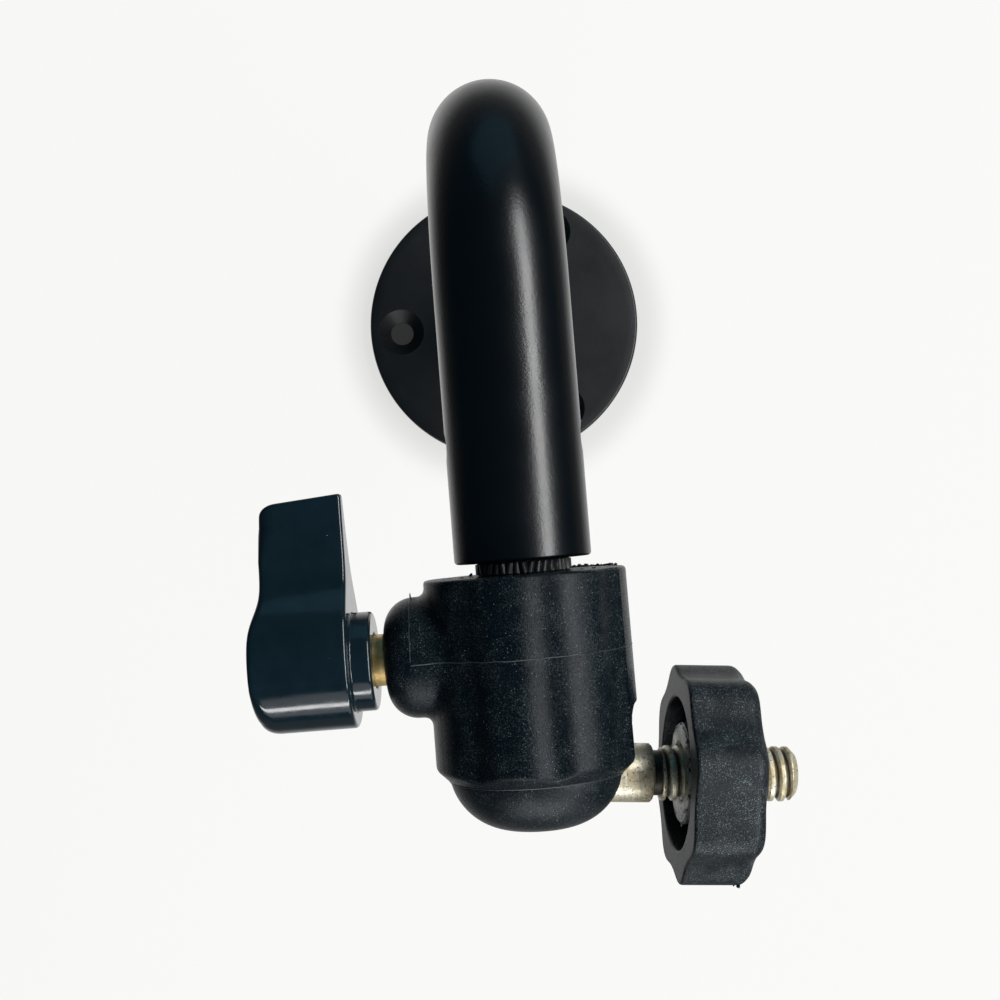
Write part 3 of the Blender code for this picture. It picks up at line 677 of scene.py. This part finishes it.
def barrel_radius(x, y, z):
    """The barrel's radius: shallow upright flutes, deeper towards the bottom, none at boss and slot."""
    angle = np.arctan2(x, -y)
    share = (BARREL_TOP - z) / (BARREL_TOP - BARREL_BOTTOM)
    away = (angle - FLUTE_TURN + FLUTE_PITCH / 2) % FLUTE_PITCH - FLUTE_PITCH / 2
    flute = np.exp(-(away / FLUTE_WIDTH) ** 2) * (np.abs(np.sin(angle)) < FLUTED)
    radius = BARREL_RADIUS + (BARREL_LOWER_RADIUS - BARREL_RADIUS) * share
    return radius - (FLUTE_DEPTH[0] + (FLUTE_DEPTH[1] - FLUTE_DEPTH[0]) * np.clip(share, 0, 1)) * flute


def housing_field(x, y, z):
    """The head: fluted barrel and boss, bored for the shoe, spindle and screw, slotted for the stud."""
    r = np.hypot(x, y)
    barrel = smooth_max(r - barrel_radius(x, y, z), z - BARREL_TOP, BARREL_ROUND)
    chamfer = (r - CAP_RADIUS - (z - BARREL_BOTTOM)) / math.sqrt(2)
    barrel = smooth_max(barrel, chamfer, CHAMFER_ROUND)
    beyond = np.maximum(BOSS_CORNER - BOSS_REACH - x, 0)
    outside = np.maximum(np.hypot(y, z - CLAMP_Z) - BOSS_RADIUS + BOSS_CORNER, 0)
    boss = np.hypot(outside, beyond) - BOSS_CORNER
    solid = smooth_min(barrel, smooth_max(boss, x, BARREL_ROUND), BOSS_FILLET)
    solid = smooth_max(solid, BARREL_BOTTOM - z, JOINT_ROUND)
    cavity = smooth_max(r - CAVITY_RADIUS, z - CAVITY_TOP, CAVITY_FILLET)
    solid = smooth_max(solid, -cavity, CAVITY_MOUTH_ROUND)
    spindle = np.maximum(r - SPINDLE_HOLE, CAVITY_TOP - PAST - z)
    solid = smooth_max(solid, -spindle, SPINDLE_MOUTH_ROUND)
    screw = rod_distance(x, y, z - CLAMP_Z, SCREW_RADIUS + GAP, SCREW_HOLE_END, HOLES_INSIDE)
    nut = np.abs(z - CLAMP_Z)
    nut = np.maximum(nut, 0.5 * nut + math.sqrt(0.75) * np.abs(y)) - NUT_HALF
    nut = np.maximum(nut, np.maximum(NUT_OUTER - x, x - HOLES_INSIDE))
    solid = smooth_max(solid, -np.minimum(screw, nut), SCREW_MOUTH_ROUND)
    slot = smooth_max(slot_distance(y, z, SLOT_HALF, SLOT_TOP, SLOT_CORNER), SLOT_START - x, 0.3)
    return smooth_max(solid, -slot, SLOT_MOUTH_ROUND)


def make_housing():
    """The head's moulded body."""
    low = (-BOSS_REACH, -BARREL_LOWER_RADIUS, BARREL_BOTTOM)
    high = (BARREL_LOWER_RADIUS, BARREL_LOWER_RADIUS, BARREL_TOP)
    field_piece("swivel_head", housing_field, low, high, HOUSING_CELL, material=HOUSING_PLASTIC,
                stands_for=["head_housing"], **ON_HEAD)


def cap_field(x, y, z):
    """The domed cap: shoulder under the barrel, spigot inside it, ball seat and stud slot."""
    r = np.hypot(x, y)
    top = BARREL_BOTTOM - CLEAR
    reach = CAP_CROWN - CAP_CORNER
    corner_radius = CAP_RADIUS - CAP_CORNER
    crown_centre = math.sqrt(reach ** 2 - corner_radius ** 2)
    corner_z = CAP_BOTTOM + CAP_CROWN - crown_centre
    corner = np.hypot(np.maximum(r - corner_radius, 0), np.minimum(z - corner_z, 0)) - CAP_CORNER
    crown = np.hypot(r, z - corner_z - crown_centre) - CAP_CROWN
    on_crown = (r - corner_radius) * crown_centre + (z - corner_z) * corner_radius < 0
    shoulder = smooth_max(np.where(on_crown & (z < corner_z), crown, corner), z - top, JOINT_ROUND)
    ends = np.maximum(z - BALL_Z - CAP_SPIGOT_ABOVE, BALL_Z - CAP_SPIGOT_BELOW - z)
    solid = np.minimum(shoulder, np.maximum(r - (CAVITY_RADIUS - GAP), ends))
    seat = np.sqrt(r ** 2 + (z - BALL_Z) ** 2) - (BALL_RADIUS + GAP)
    slot = np.maximum(np.abs(y) - CAP_SLOT_HALF, -x)
    slot = np.minimum(slot, np.maximum(r - CAP_SLOT_HALF, z - BALL_Z))
    return smooth_max(smooth_max(solid, -seat, 0.2), -slot, CAP_SLOT_ROUND)


# Flash and burrs left from the mould
SEAM_X = -13.4                      # the boss's upright seam
PARTING_Z = CLAMP_Z - 0.3
PARTING_ENDS = (-53, 233)           # degrees round the barrel, from one side of the boss to the other
JOINT_ENDS = (118, 422)             # degrees round the cap, from one side of the slot to the other


def bead(centre, up, height, width, sides=6):
    """A closed raised line along some points: its height at each, and its half width."""
    along = np.gradient(centre, axis=0)
    across = np.cross(along, up)
    across /= np.linalg.norm(across, axis=1)[:, None]
    angles = np.linspace(0, 2 * math.pi, sides, endpoint=False)
    high = np.asarray(height)[:, None, None] * np.cos(angles)[:, None] * up[:, None, :]
    wide = width * np.sin(angles)[:, None] * across[:, None, :]
    faces = grid_faces(len(centre), sides)
    last = sides * (len(centre) - 1)
    faces += [tuple(range(sides))[::-1], tuple(range(last, last + sides))]
    return (centre[:, None, :] + high + wide).reshape(-1, 3), faces


def chip(centre, size, random, count=14):
    """A loose chip: the hull of points scattered over an ellipsoid with these three half sizes."""
    spots = random.normal(size=(count, 3))
    spots = spots / np.linalg.norm(spots, axis=1)[:, None] * size + centre
    form = bmesh.new()
    for spot in spots:
        form.verts.new(spot)
    bmesh.ops.convex_hull(form, input=form.verts)
    bmesh.ops.recalc_face_normals(form, faces=form.faces)
    form.verts.index_update()
    points = np.array([vertex.co for vertex in form.verts])
    faces = [tuple(vertex.index for vertex in face.verts) for face in form.faces]
    form.free()
    return points, faces


def joined(name, parts, **how):
    """One piece out of several sets of points and faces."""
    points, faces, start = [], [], 0
    for part_points, part_faces in parts:
        points.append(part_points)
        faces += [tuple(start + corner for corner in face) for face in part_faces]
        start += len(part_points)
    piece = place_mesh(name, np.concatenate(points), faces, **how)
    piece.data.set_sharp_from_angle(angle=math.radians(40))
    return piece


def uneven(count, low, high, random):
    """A slowly wandering value between low and high."""
    knots = random.uniform(low, high, count // 5 + 2)
    return np.interp(np.linspace(0, len(knots) - 1, count), np.arange(len(knots)), knots)


def round_head(angle, radius):
    """X and Y at an angle round the head from the front, towards +X."""
    return radius * np.sin(angle), -radius * np.cos(angle)


def make_mould_lines(random):
    """The mould's parting line round head and boss, the boss's upright seam, and the cap's joint, in a
    lighter tone that paints on their highlight.
    """
    side_x = np.linspace(SEAM_X, -10.0, 12)
    side = np.stack([side_x, 0 * side_x - BOSS_RADIUS], 1)
    barrel = np.stack(round_head(np.radians(np.linspace(*PARTING_ENDS, 230)), BARREL_RADIUS), 1)
    around = np.concatenate([side, barrel, (side * (1, -1))[::-1]])
    line = np.column_stack([around, PARTING_Z + uneven(len(around), -0.06, 0.06, random)])
    parts = [bead(*settle(housing_field, line, 8), uneven(len(line), 0.04, 0.12, random), 0.07)]
    over = np.linspace(0, math.pi, 70)
    seam = np.stack([SEAM_X + uneven(70, -0.05, 0.05, random), -BOSS_RADIUS * np.cos(over),
                     CLAMP_Z + BOSS_RADIUS * np.sin(over)], 1)
    parts.append(bead(*settle(housing_field, seam, 8), uneven(70, 0.03, 0.11, random), 0.06))
    angle = np.radians(np.linspace(*JOINT_ENDS, 200))
    outward = np.stack([*round_head(angle, 1.0), 0 * angle], 1)
    joint = (CAP_RADIUS - 0.05) * outward + (0, 0, BARREL_BOTTOM)
    parts.append(bead(joint, outward, uneven(200, 0.10, 0.14, random), 0.10))
    joined("head_mould_lines", parts, material=LINE_HIGHLIGHT_PAINT, **ON_HEAD)


def make_burrs(random):
    """Chips of plastic on the boss, round the head's top rim, beside the slot and at the tube's end."""
    boss_top = CLAMP_Z + BOSS_RADIUS
    parts = [chip((SEAM_X, -0.6, boss_top + 0.15), (0.10, 0.5, 0.42), random),
             chip((-BOSS_REACH + 0.35, -1.2, CLAMP_Z + 3.9), (0.30, 0.35, 0.22), random),
             chip((-BOSS_REACH + 0.55, -1.5, CLAMP_Z + 4.4), (0.14, 0.2, 0.30), random),
             chip((-6.4, 4.5, BARREL_TOP + 0.1), (0.35, 0.3, 0.30), random)]
    rim = BARREL_RADIUS - 0.7
    for x in np.linspace(5.4, 10.8, 13):
        size = random.uniform(0.15, 0.34)
        parts.append(chip((x, math.sqrt(rim ** 2 - x * x), BARREL_TOP + 0.2 * size),
                          (1.6 * size, size, size), random))
    for _ in range(46):
        angle = math.radians(random.uniform(55, 64))
        z = random.uniform(-78.5, -69.0)
        spot, _ = settle(housing_field, [(*round_head(angle, 12.0), z)], 8)
        size = random.uniform(0.05, 0.14)
        parts.append(chip(spot[0], (size, size, 1.3 * size), random, 9))
    for angle in random.uniform(-1.5, 1.5, 26):
        reach = random.uniform(7.0, 9.6)
        size = random.uniform(0.05, 0.15)
        spot = (*round_head(angle, reach), BARREL_TOP + 0.3 * size)
        parts.append(chip(spot, (size, size, size), random, 8))
    joined("head_burrs", parts, material=HOUSING_PLASTIC, **ON_HEAD)


def make_wheel_flash():
    """The nub left by the mould at the wheel's rim, and ragged plastic round the insert's face."""
    random = np.random.default_rng(8)
    angle = WHEEL_LOBE_PHASE - WHEEL_PITCH
    lobe = WHEEL_RADIUS * Vector((0, math.sin(angle), -math.cos(angle)))
    parts = [chip(lobe + Vector((WHEEL_BACK - 1.3, 0, -0.05)), (0.30, 0.35, 0.35), random),
             chip(lobe + Vector((WHEEL_BACK - 1.8, 0.2, 0)), (0.18, 0.25, 0.20), random)]
    for angle in random.uniform(0, 2 * math.pi, 44):
        reach = INSERT_RADIUS - random.uniform(0.0, 1.5)
        size = random.uniform(0.18, 0.70)
        parts.append(chip((INSERT_FACE + 0.12, reach * math.cos(angle), reach * math.sin(angle)),
                          (0.14, size, 0.7 * size), random, 9))
    joined("wheel_moulding_flash", parts, **ON_WHEEL)


def make_cap():
    """The domed cap under the head."""
    low = (-CAP_RADIUS, -CAP_RADIUS, CAP_BOTTOM)
    high = (CAP_RADIUS, CAP_RADIUS, CAP_HIGH.z)
    field_piece("head_cap", cap_field, low, high, CAP_CELL, material=CAP_PLASTIC,
                stands_for=["bottom_cap"], **ON_HEAD)


# ---- lever and its screw
LEVER_DRAFT = 0.045                 # how much smaller the outer end is
LEVER_EDGE = 0.5
PADDLE_EDGE = 0.7
PADDLE_FILLET = 5.5
PADDLE_START = 2.0                  # how softly the paddle ends below the hub's middle
PADDLE_SWELL = (5.5, 2.6)           # height and half length of the swell on the paddle's front
SCREW_GAP = 0.2


def lever_field(x, y, z):
    """The wing lever: a hub with a tapering paddle, drafted towards its outer end, and a collar."""
    share = (LEVER_INNER - x) / (LEVER_INNER - LEVER_OUTER)
    draft = 1 - LEVER_DRAFT * np.clip(share, 0, 1)
    up = z / np.where(z > 0, draft, 1)
    wall = y / draft
    hub = np.hypot(up, wall) - HUB_RADIUS
    below_tip = LEVER_TIP - up
    front = -2.45 - 0.045 * below_tip - 0.9 * np.exp(-((up - PADDLE_SWELL[0]) / PADDLE_SWELL[1]) ** 2)
    back = -0.45 + 0.20 * below_tip + 0.012 * below_tip ** 2
    paddle = smooth_max(front - wall, wall - back, PADDLE_EDGE)
    paddle = smooth_max(smooth_max(paddle, -below_tip, LEVER_EDGE), -3.0 * up, PADDLE_START)
    shape = smooth_max(smooth_min(hub, paddle, PADDLE_FILLET), x - LEVER_INNER, LEVER_EDGE)
    corner = 0.8 + 1.7 * np.clip((up - 13) / 4, 0, 1) + 1.8 * np.clip((-up - 2) / 4, 0, 1)
    paddle_end = LEVER_OUTER + LEVER_SWELL * (1 - np.exp(-(np.maximum(up - 1, 0) / 6.0) ** 4))
    shape = smooth_max(shape, paddle_end - x, corner)
    along = np.abs(x - COLLAR_MIDDLE) - (COLLAR_END - COLLAR_MIDDLE)
    collar = smooth_max(np.hypot(y, z) - COLLAR_RADIUS, along, LEVER_EDGE)
    bore = rod_distance(x, y, z, SCREW_RADIUS + SCREW_GAP, SCREW_END - GAP, 0)
    return smooth_max(smooth_min(shape, collar, 0.25), -bore, 0.3)


def make_lever():
    """The glossy wing lever with its collar."""
    low = (LEVER_OUTER, LEVER_LOW.y - LEG_Y, LEVER_LOW.z - CLAMP_Z)
    high = (COLLAR_END, LEVER_HIGH.y - LEG_Y, LEVER_TIP)
    field_piece("wing_lever", lever_field, low, high, LEVER_CELL, body="lever", slot="lever_plastic",
                material=LEVER_PLASTIC, local=LEVER_FRAME, stands_for=["lever"])


def thread_height(height, angle, pitch, crest=0.32, root=0.10):
    """1 on a right-hand thread's worn crest and 0 in its root."""
    away = np.abs((height / pitch - angle / (2 * math.pi)) % 1 - 0.5) * 2
    slope = np.clip((away - crest) / (1 - crest - root), 0, 1)
    return 1 - slope * slope * (3 - 2 * slope)


def helix(pitch, depth, start, end):
    """A vary function that cuts a right-hand thread between two heights."""
    def vary(height, angle, radius):
        fade = np.clip((height - start) / (0.6 * pitch), 0, 1) * np.clip((end - height) / 0.1, 0, 1)
        cut_down = depth * (1 - thread_height(height, angle, pitch))
        return np.where((height > start) & (height < end), radius - cut_down * fade, radius)
    return vary


def rows(radius, start, end, pitch, per_pitch=14):
    """Rows of one radius, close enough together to carry a thread."""
    count = max(2, int(abs(end - start) / pitch * per_pitch))
    return [(radius, height) for height in np.linspace(start, end, count)]


def make_screw():
    """The brass clamp screw, with a fine thread and a conical point."""
    step, groove = SCREW_STEP, SCREW_RADIUS - SCREW_STEP_DEPTH
    profile = [(0, SCREW_END), (SCREW_RADIUS - 0.4, SCREW_END), (SCREW_RADIUS, SCREW_END + 0.4),
               (SCREW_RADIUS, step[0]), (groove, step[0] + 0.1), (groove, step[1] - 0.1),
               (SCREW_RADIUS, step[1]), *rows(SCREW_RADIUS, -18.0, SCREW_THREAD[1], SCREW_PITCH),
               (SCREW_RADIUS - 0.3, -5.6), (0.7, SCREW_TIP - 0.1), (0.5, SCREW_TIP), (0, SCREW_TIP)]
    turned_piece("lever_screw", profile, 72, "screw", "brass", BRASS, local=LEVER_FRAME,
                 vary=helix(SCREW_PITCH, SCREW_THREAD_DEPTH, *SCREW_THREAD), stands_for=["clamp_screw"],
                 smooth_angle=60)


# ---- ball, stud, insert and hand wheel
def make_ball():
    """The ball, bored for the stud's tang."""
    angles = np.linspace(-math.pi / 2, math.acos(TANG_BORE / BALL_RADIUS), 60)
    surface = [(max(BALL_RADIUS * math.cos(a), 0), BALL_RADIUS * math.sin(a)) for a in angles]
    profile = [*surface, (TANG_BORE, -1.0), (0, -1.0)]
    turned_piece("stud_ball", profile, 96, "ball", "nickel", NICKEL, local=STUD_FRAME,
                 stands_for=["ball"])


def make_stud():
    """The quarter-inch stud: tang, plain part, relief groove and thread, with dirt and painted shade in
    the roots and groove.
    """
    groove_start, groove_end = STUD_GROOVE
    chamfer_start = STUD_END - TIP_CHAMFER
    tip = [(THREAD_RADIUS - share * TIP_CHAMFER, chamfer_start + share * TIP_CHAMFER)
           for share in np.linspace(0.12, 1, 9)]
    profile = [(0, TANG_END), (TANG_RADIUS, TANG_END), (TANG_RADIUS, STUD_SHOULDER),
               (STUD_PLAIN_RADIUS - 0.2, STUD_SHOULDER), (STUD_PLAIN_RADIUS, STUD_SHOULDER + 0.2),
               (STUD_PLAIN_RADIUS, 9.0), (STUD_PLAIN_RADIUS, groove_start - 0.3),
               (STUD_PLAIN_RADIUS - 0.25, groove_start - 0.05), (STUD_GROOVE_RADIUS, groove_start + 0.1),
               (STUD_GROOVE_RADIUS, groove_end - 0.1),
               *rows(THREAD_RADIUS, groove_end, chamfer_start, THREAD_PITCH, 16), *tip, (1.2, STUD_END),
               (0, STUD_END)]

    def vary(height, angle, radius):
        wave = thread_height(height, angle, THREAD_PITCH)
        threaded = np.minimum(radius, THREAD_RADIUS - THREAD_DEPTH * (1 - wave))
        return np.where((height >= groove_end) & (radius > 1.5), threaded, radius)
    stud = turned_piece("tripod_stud", profile, 96, "stud", "nickel", NICKEL, local=STUD_FRAME,
                        vary=vary, stands_for=["threaded_stud"], smooth_angle=60)
    points = np.array([STUD_FRAME.inverted() @ (vertex.co / MM) for vertex in stud.data.vertices])
    full = np.where(points[:, 0] < groove_end, STUD_PLAIN_RADIUS, THREAD_RADIUS)
    depth_here = full - np.hypot(points[:, 1], points[:, 2])
    # Dirt and painted shade: the deeper a point lies below the full radius, in thread roots and relief
    # groove, the darker it is painted, except near the tip.
    dirt_shade_share = np.clip((depth_here - 0.24) / 0.16, 0, 0.95) * (points[:, 0] < STUD_END - 0.9)
    stud.data.attributes.new("roots_dirt_shade", "FLOAT", "POINT").data.foreach_set("value", dirt_shade_share)


def make_insert():
    """The wheel's metal insert, its bore a little uneven and its face rough as cast."""
    bore = THREAD_RADIUS + 0.27
    profile = [(bore, INSERT_END), (bore, INSERT_FACE + 0.3), (bore + 0.3, INSERT_FACE),
               (4.4, INSERT_FACE), (5.0, INSERT_FACE + 0.05), (INSERT_RADIUS - 0.25, INSERT_FACE + 0.1),
               (INSERT_RADIUS, INSERT_FACE + 0.35), (INSERT_RADIUS, 20.0),
               (INSERT_RADIUS, INSERT_END - 0.2), (INSERT_RADIUS - 0.2, INSERT_END)]

    def vary(height, angle, radius):
        wave = thread_height(height, angle, THREAD_PITCH)
        return np.where(radius < bore + 0.05, radius - 0.18 * wave, radius)
    turned_piece("threaded_insert", profile, 72, "insert", "insert_metal", INSERT_METAL,
                 local=STUD_FRAME, vary=vary, closed=True, stands_for=["wheel_insert"])


WHEEL_CHAMFER = 1.0
WHEEL_FACE_ROUND = 0.45
WHEEL_BACK_ROUND = 0.4
RECESS_ROUND = 0.35
POCKET_ROUND = 0.3
POCKET_GAP = 0.08                   # round the insert


def wheel_field(x, y, z):
    """The lobed hand wheel, hollow on the side that faces the head."""
    r = np.hypot(y, z)
    angle = np.arctan2(y, -z)
    wave = np.cos(WHEEL_LOBES * (angle - WHEEL_LOBE_PHASE))
    outline = WHEEL_RADIUS - WHEEL_LOBE_DEPTH * (1 - (0.5 + 0.5 * wave) ** 1.2)
    shape = smooth_max(r - outline, WHEEL_FACE - x, WHEEL_FACE_ROUND)
    chamfer = (r - outline + x - WHEEL_BACK + WHEEL_CHAMFER) / math.sqrt(2)
    shape = smooth_max(smooth_max(shape, chamfer, WHEEL_BACK_ROUND), x - WHEEL_BACK, WHEEL_BACK_ROUND)
    recess = np.maximum(r - RECESS_RADIUS, x - WHEEL_FACE - RECESS_DEPTH)
    pocket = np.maximum(r - INSERT_RADIUS - POCKET_GAP, WHEEL_FACE - x)
    return smooth_max(smooth_max(shape, -recess, RECESS_ROUND), -pocket, POCKET_ROUND)


def make_wheel():
    """The hand wheel."""
    reach = WHEEL_RADIUS
    field_piece("hand_wheel", wheel_field, (WHEEL_FACE, -reach, -reach), (WHEEL_BACK, reach, reach),
                WHEEL_CELL, stands_for=["thumb_wheel"], **ON_WHEEL)


# ---- toothed washer
WASHER_TEETH = 41
TOOTH_DEPTH = 0.5
TOOTH_LEAN = 0.35                   # how much of a tooth's width it leans, for each mm of height


def make_washer():
    """The toothed washer between tube and head, its teeth uneven and leaning."""
    top = TUBE_END - CLEAR
    bottom = BARREL_TOP + CLEAR
    down = Matrix(((0, 0, 1, 0), (0, 1, 0, 0), (-1, 0, 0, 0), (0, 0, 0, 1)))
    outer = WASHER_HIGH.x
    profile = [(4.2, -top), (outer - 0.5, -top), (outer - 0.35, -top + 0.1),
               *[(outer, h) for h in np.linspace(-top + 0.15, -bottom - 0.15, 8)],
               (outer - 0.35, -bottom - 0.1), (outer - 0.5, -bottom), (4.2, -bottom)]
    random = np.random.default_rng(11)
    lengths = random.uniform(0.0, 1.0, WASHER_TEETH)
    leans = random.uniform(-TOOTH_LEAN, TOOTH_LEAN, WASHER_TEETH)

    def vary(height, angle, radius):
        turn = angle / (2 * math.pi) * WASHER_TEETH
        which = np.floor(turn).astype(int) % WASHER_TEETH
        lean = leans[which] * (height + (top + bottom) / 2)
        tooth = np.clip(1.4 - 2.4 * np.abs(turn % 1 - 0.5 + lean), 0, 1)
        notch = TOOTH_DEPTH * (1 - tooth * (0.45 + 0.55 * lengths[which]))
        return np.where(radius > outer - 0.1, radius - notch, radius)
    turned_piece("serrated_washer", profile, 10 * WASHER_TEETH, "wall_arm", "blackened_steel", BLACKENED,
                 local=HEAD_FRAME @ down, vary=vary, closed=True, stands_for=["toothed_washer"],
                 smooth_angle=30)


def finish_hidden_nodes():
    """Materials for the CAD nodes that stay as they are."""
    finishes = {"base_spring_pin": STEEL, "plug_spring_pin": STEEL, "tube_plug": STEEL,
                "swivel_spindle": STEEL, "disc_spring": STEEL, "friction_washer": NYLON,
                "pressure_shoe": NYLON, "clamp_nut": BRASS}
    for name, material in finishes.items():
        node = frame["nodes"][name]
        node.data.materials.clear()
        node.data.materials.append(material)


# ---- stage, light and camera
CAMERA_PLACE = Vector((-0.074, -342.27, -52.61))
CAMERA_AIM = Vector((-2.11, LEG_Y, -47.82))
CAMERA_ROLL = math.radians(-4.555)
CAMERA_LENS = 50.4


def set_camera():
    """The camera, where the picture was taken from."""
    data = bpy.data.cameras.new("camera")
    data.lens = CAMERA_LENS
    data.sensor_width = 36
    data.clip_start = 0.01
    camera = new_object("camera", data)
    camera.location = CAMERA_PLACE * MM
    camera.rotation_mode = "QUATERNION"
    look = (CAMERA_AIM - CAMERA_PLACE).to_track_quat("-Z", "Y")
    camera.rotation_quaternion = look @ Quaternion((0, 0, 1), CAMERA_ROLL)
    bpy.context.scene.camera = camera


FLOOR_SIZE = 0.9                    # m, half its side
FLOOR_BEHIND = 0.0003               # m behind the plate's back
FLOOR_GLOW = 0.885
FLOOR_PAPER = 0.06
FLOOR_REACH = (0.09, 0.29)          # m; the floor lights the bracket less and less between these
SHADE_REACH = 1.35                  # how far the plate's shade reaches, in plate radii


def make_floor():
    """The pale surface behind the plate: seen from the front only, with painted shade under the plate and
    a painted soft shadow round it, and bright only near the bracket in what the bracket mirrors."""
    mesh = bpy.data.meshes.new("floor")
    corners = [(-1, -1), (1, -1), (1, 1), (-1, 1)]
    mesh.from_pydata([(FLOOR_SIZE * x, FLOOR_BEHIND, FLOOR_SIZE * z) for x, z in corners], [],
                     [(0, 1, 2, 3)])
    new_object("floor", mesh)
    finish = Finish("floor_paper", Roughness=0.8, Specular_IOR_Level=0.0)
    finish.set("Emission Color", (1.0, 0.999, 0.985, 1))
    away = finish.add("VectorMath", {0: finish.place}, operation="LENGTH").outputs["Value"]
    edge = PLATE_RADIUS * MM
    # Painted shade: the floor's colour is near black under the plate.
    outside = finish.steps(away, 0.95 * edge, edge)
    finish.set("Base Color", finish.blend(outside, (0.004, 0.005, 0.005), 3 * (FLOOR_PAPER,)))
    # Painted shade under the plate, and a painted soft shadow that fades out round it, in the floor's
    # glow.
    under = finish.steps(away, 0.91 * edge, edge, 0.03, 0.80)
    beside = finish.steps(away, edge, SHADE_REACH * edge, 0.0, 0.20, interpolation_type="SMOOTHERSTEP")
    near = finish.steps(away, *FLOOR_REACH, 1.0, 0.04)
    seen = finish.maths("MAXIMUM", near, finish.add("LightPath").outputs["Is Camera Ray"])
    glow = finish.maths("MULTIPLY", finish.maths("ADD", under, beside), seen)
    finish.set("Emission Strength", finish.maths("MULTIPLY", glow, FLOOR_GLOW))
    clear = finish.add("BsdfTransparent").outputs[0]
    behind = finish.add("NewGeometry").outputs["Backfacing"]
    side = finish.add("MixShader", {0: behind, 1: finish.shader.outputs[0], 2: clear}).outputs[0]
    finish.tree.links.new(side, finish.tree.nodes["Material Output"].inputs["Surface"])
    mesh.materials.append(finish.material)


def soft_light(name, direction, distance, width, height, radiance, colour=(1.0, 1.0, 1.0)):
    """An area light at a distance from the head, facing it; its mirror image shows this radiance."""
    target = Vector((0, LEG_Y, -60)) * MM
    data = bpy.data.lights.new(name, "AREA")
    data.shape = "RECTANGLE"
    data.size = width
    data.size_y = height
    data.energy = radiance * math.pi * width * height
    data.color = colour
    light = new_object(name, data)
    aim = Vector(direction).normalized()
    light.location = target + aim * distance
    light.rotation_mode = "QUATERNION"
    light.rotation_quaternion = aim.to_track_quat("Z", "Y")
    light.visible_camera = False


RIGHT_AZIMUTH = math.radians(44)
LOW_ANGLE = math.radians(71.5)      # below level


def set_light():
    """Tall soft light to the right, a narrow one below, a soft one above, and a pale dim room."""
    right = (math.sin(RIGHT_AZIMUTH), -math.cos(RIGHT_AZIMUTH), 0.05)
    below = (-math.cos(LOW_ANGLE), -math.sin(LOW_ANGLE))
    soft_light("right_light", right, 0.9, 0.27, 1.5, 11.0)
    soft_light("low_light", (0.0, *below), 0.8, 0.8, 0.10, 11.0)
    soft_light("low_fill", (0.1, *below), 0.9, 0.9, 0.7, 0.9)
    soft_light("top_light", (0.1, -0.15, 1.0), 0.9, 0.8, 0.6, 0.25, (0.35, 0.75, 1.0))
    world = bpy.data.worlds.new("room")
    bpy.context.scene.world = world
    world.use_nodes = True
    tree = world.node_tree
    tree.nodes.clear()
    path = add_node(tree, "LightPath")
    seen = add_node(tree, "Background", {"Color": (0.93, 0.93, 0.92, 1)})
    room = add_node(tree, "Background", {"Color": (0.25, 0.65, 1.0, 1), "Strength": 0.07})
    pick = add_node(tree, "MixShader", {0: path.outputs["Is Camera Ray"], 1: room.outputs[0],
                                        2: seen.outputs[0]})
    add_node(tree, "OutputWorld", {0: pick.outputs[0]})
    bpy.context.scene.view_settings.view_transform = "Standard"


make_plate()
make_tube()
make_washer()
make_housing()
head_flash = np.random.default_rng(3)
make_mould_lines(head_flash)
make_burrs(head_flash)
make_cap()
make_lever()
make_screw()
make_ball()
make_stud()
make_insert()
make_wheel()
make_wheel_flash()
finish_hidden_nodes()
make_floor()
set_light()
set_camera()
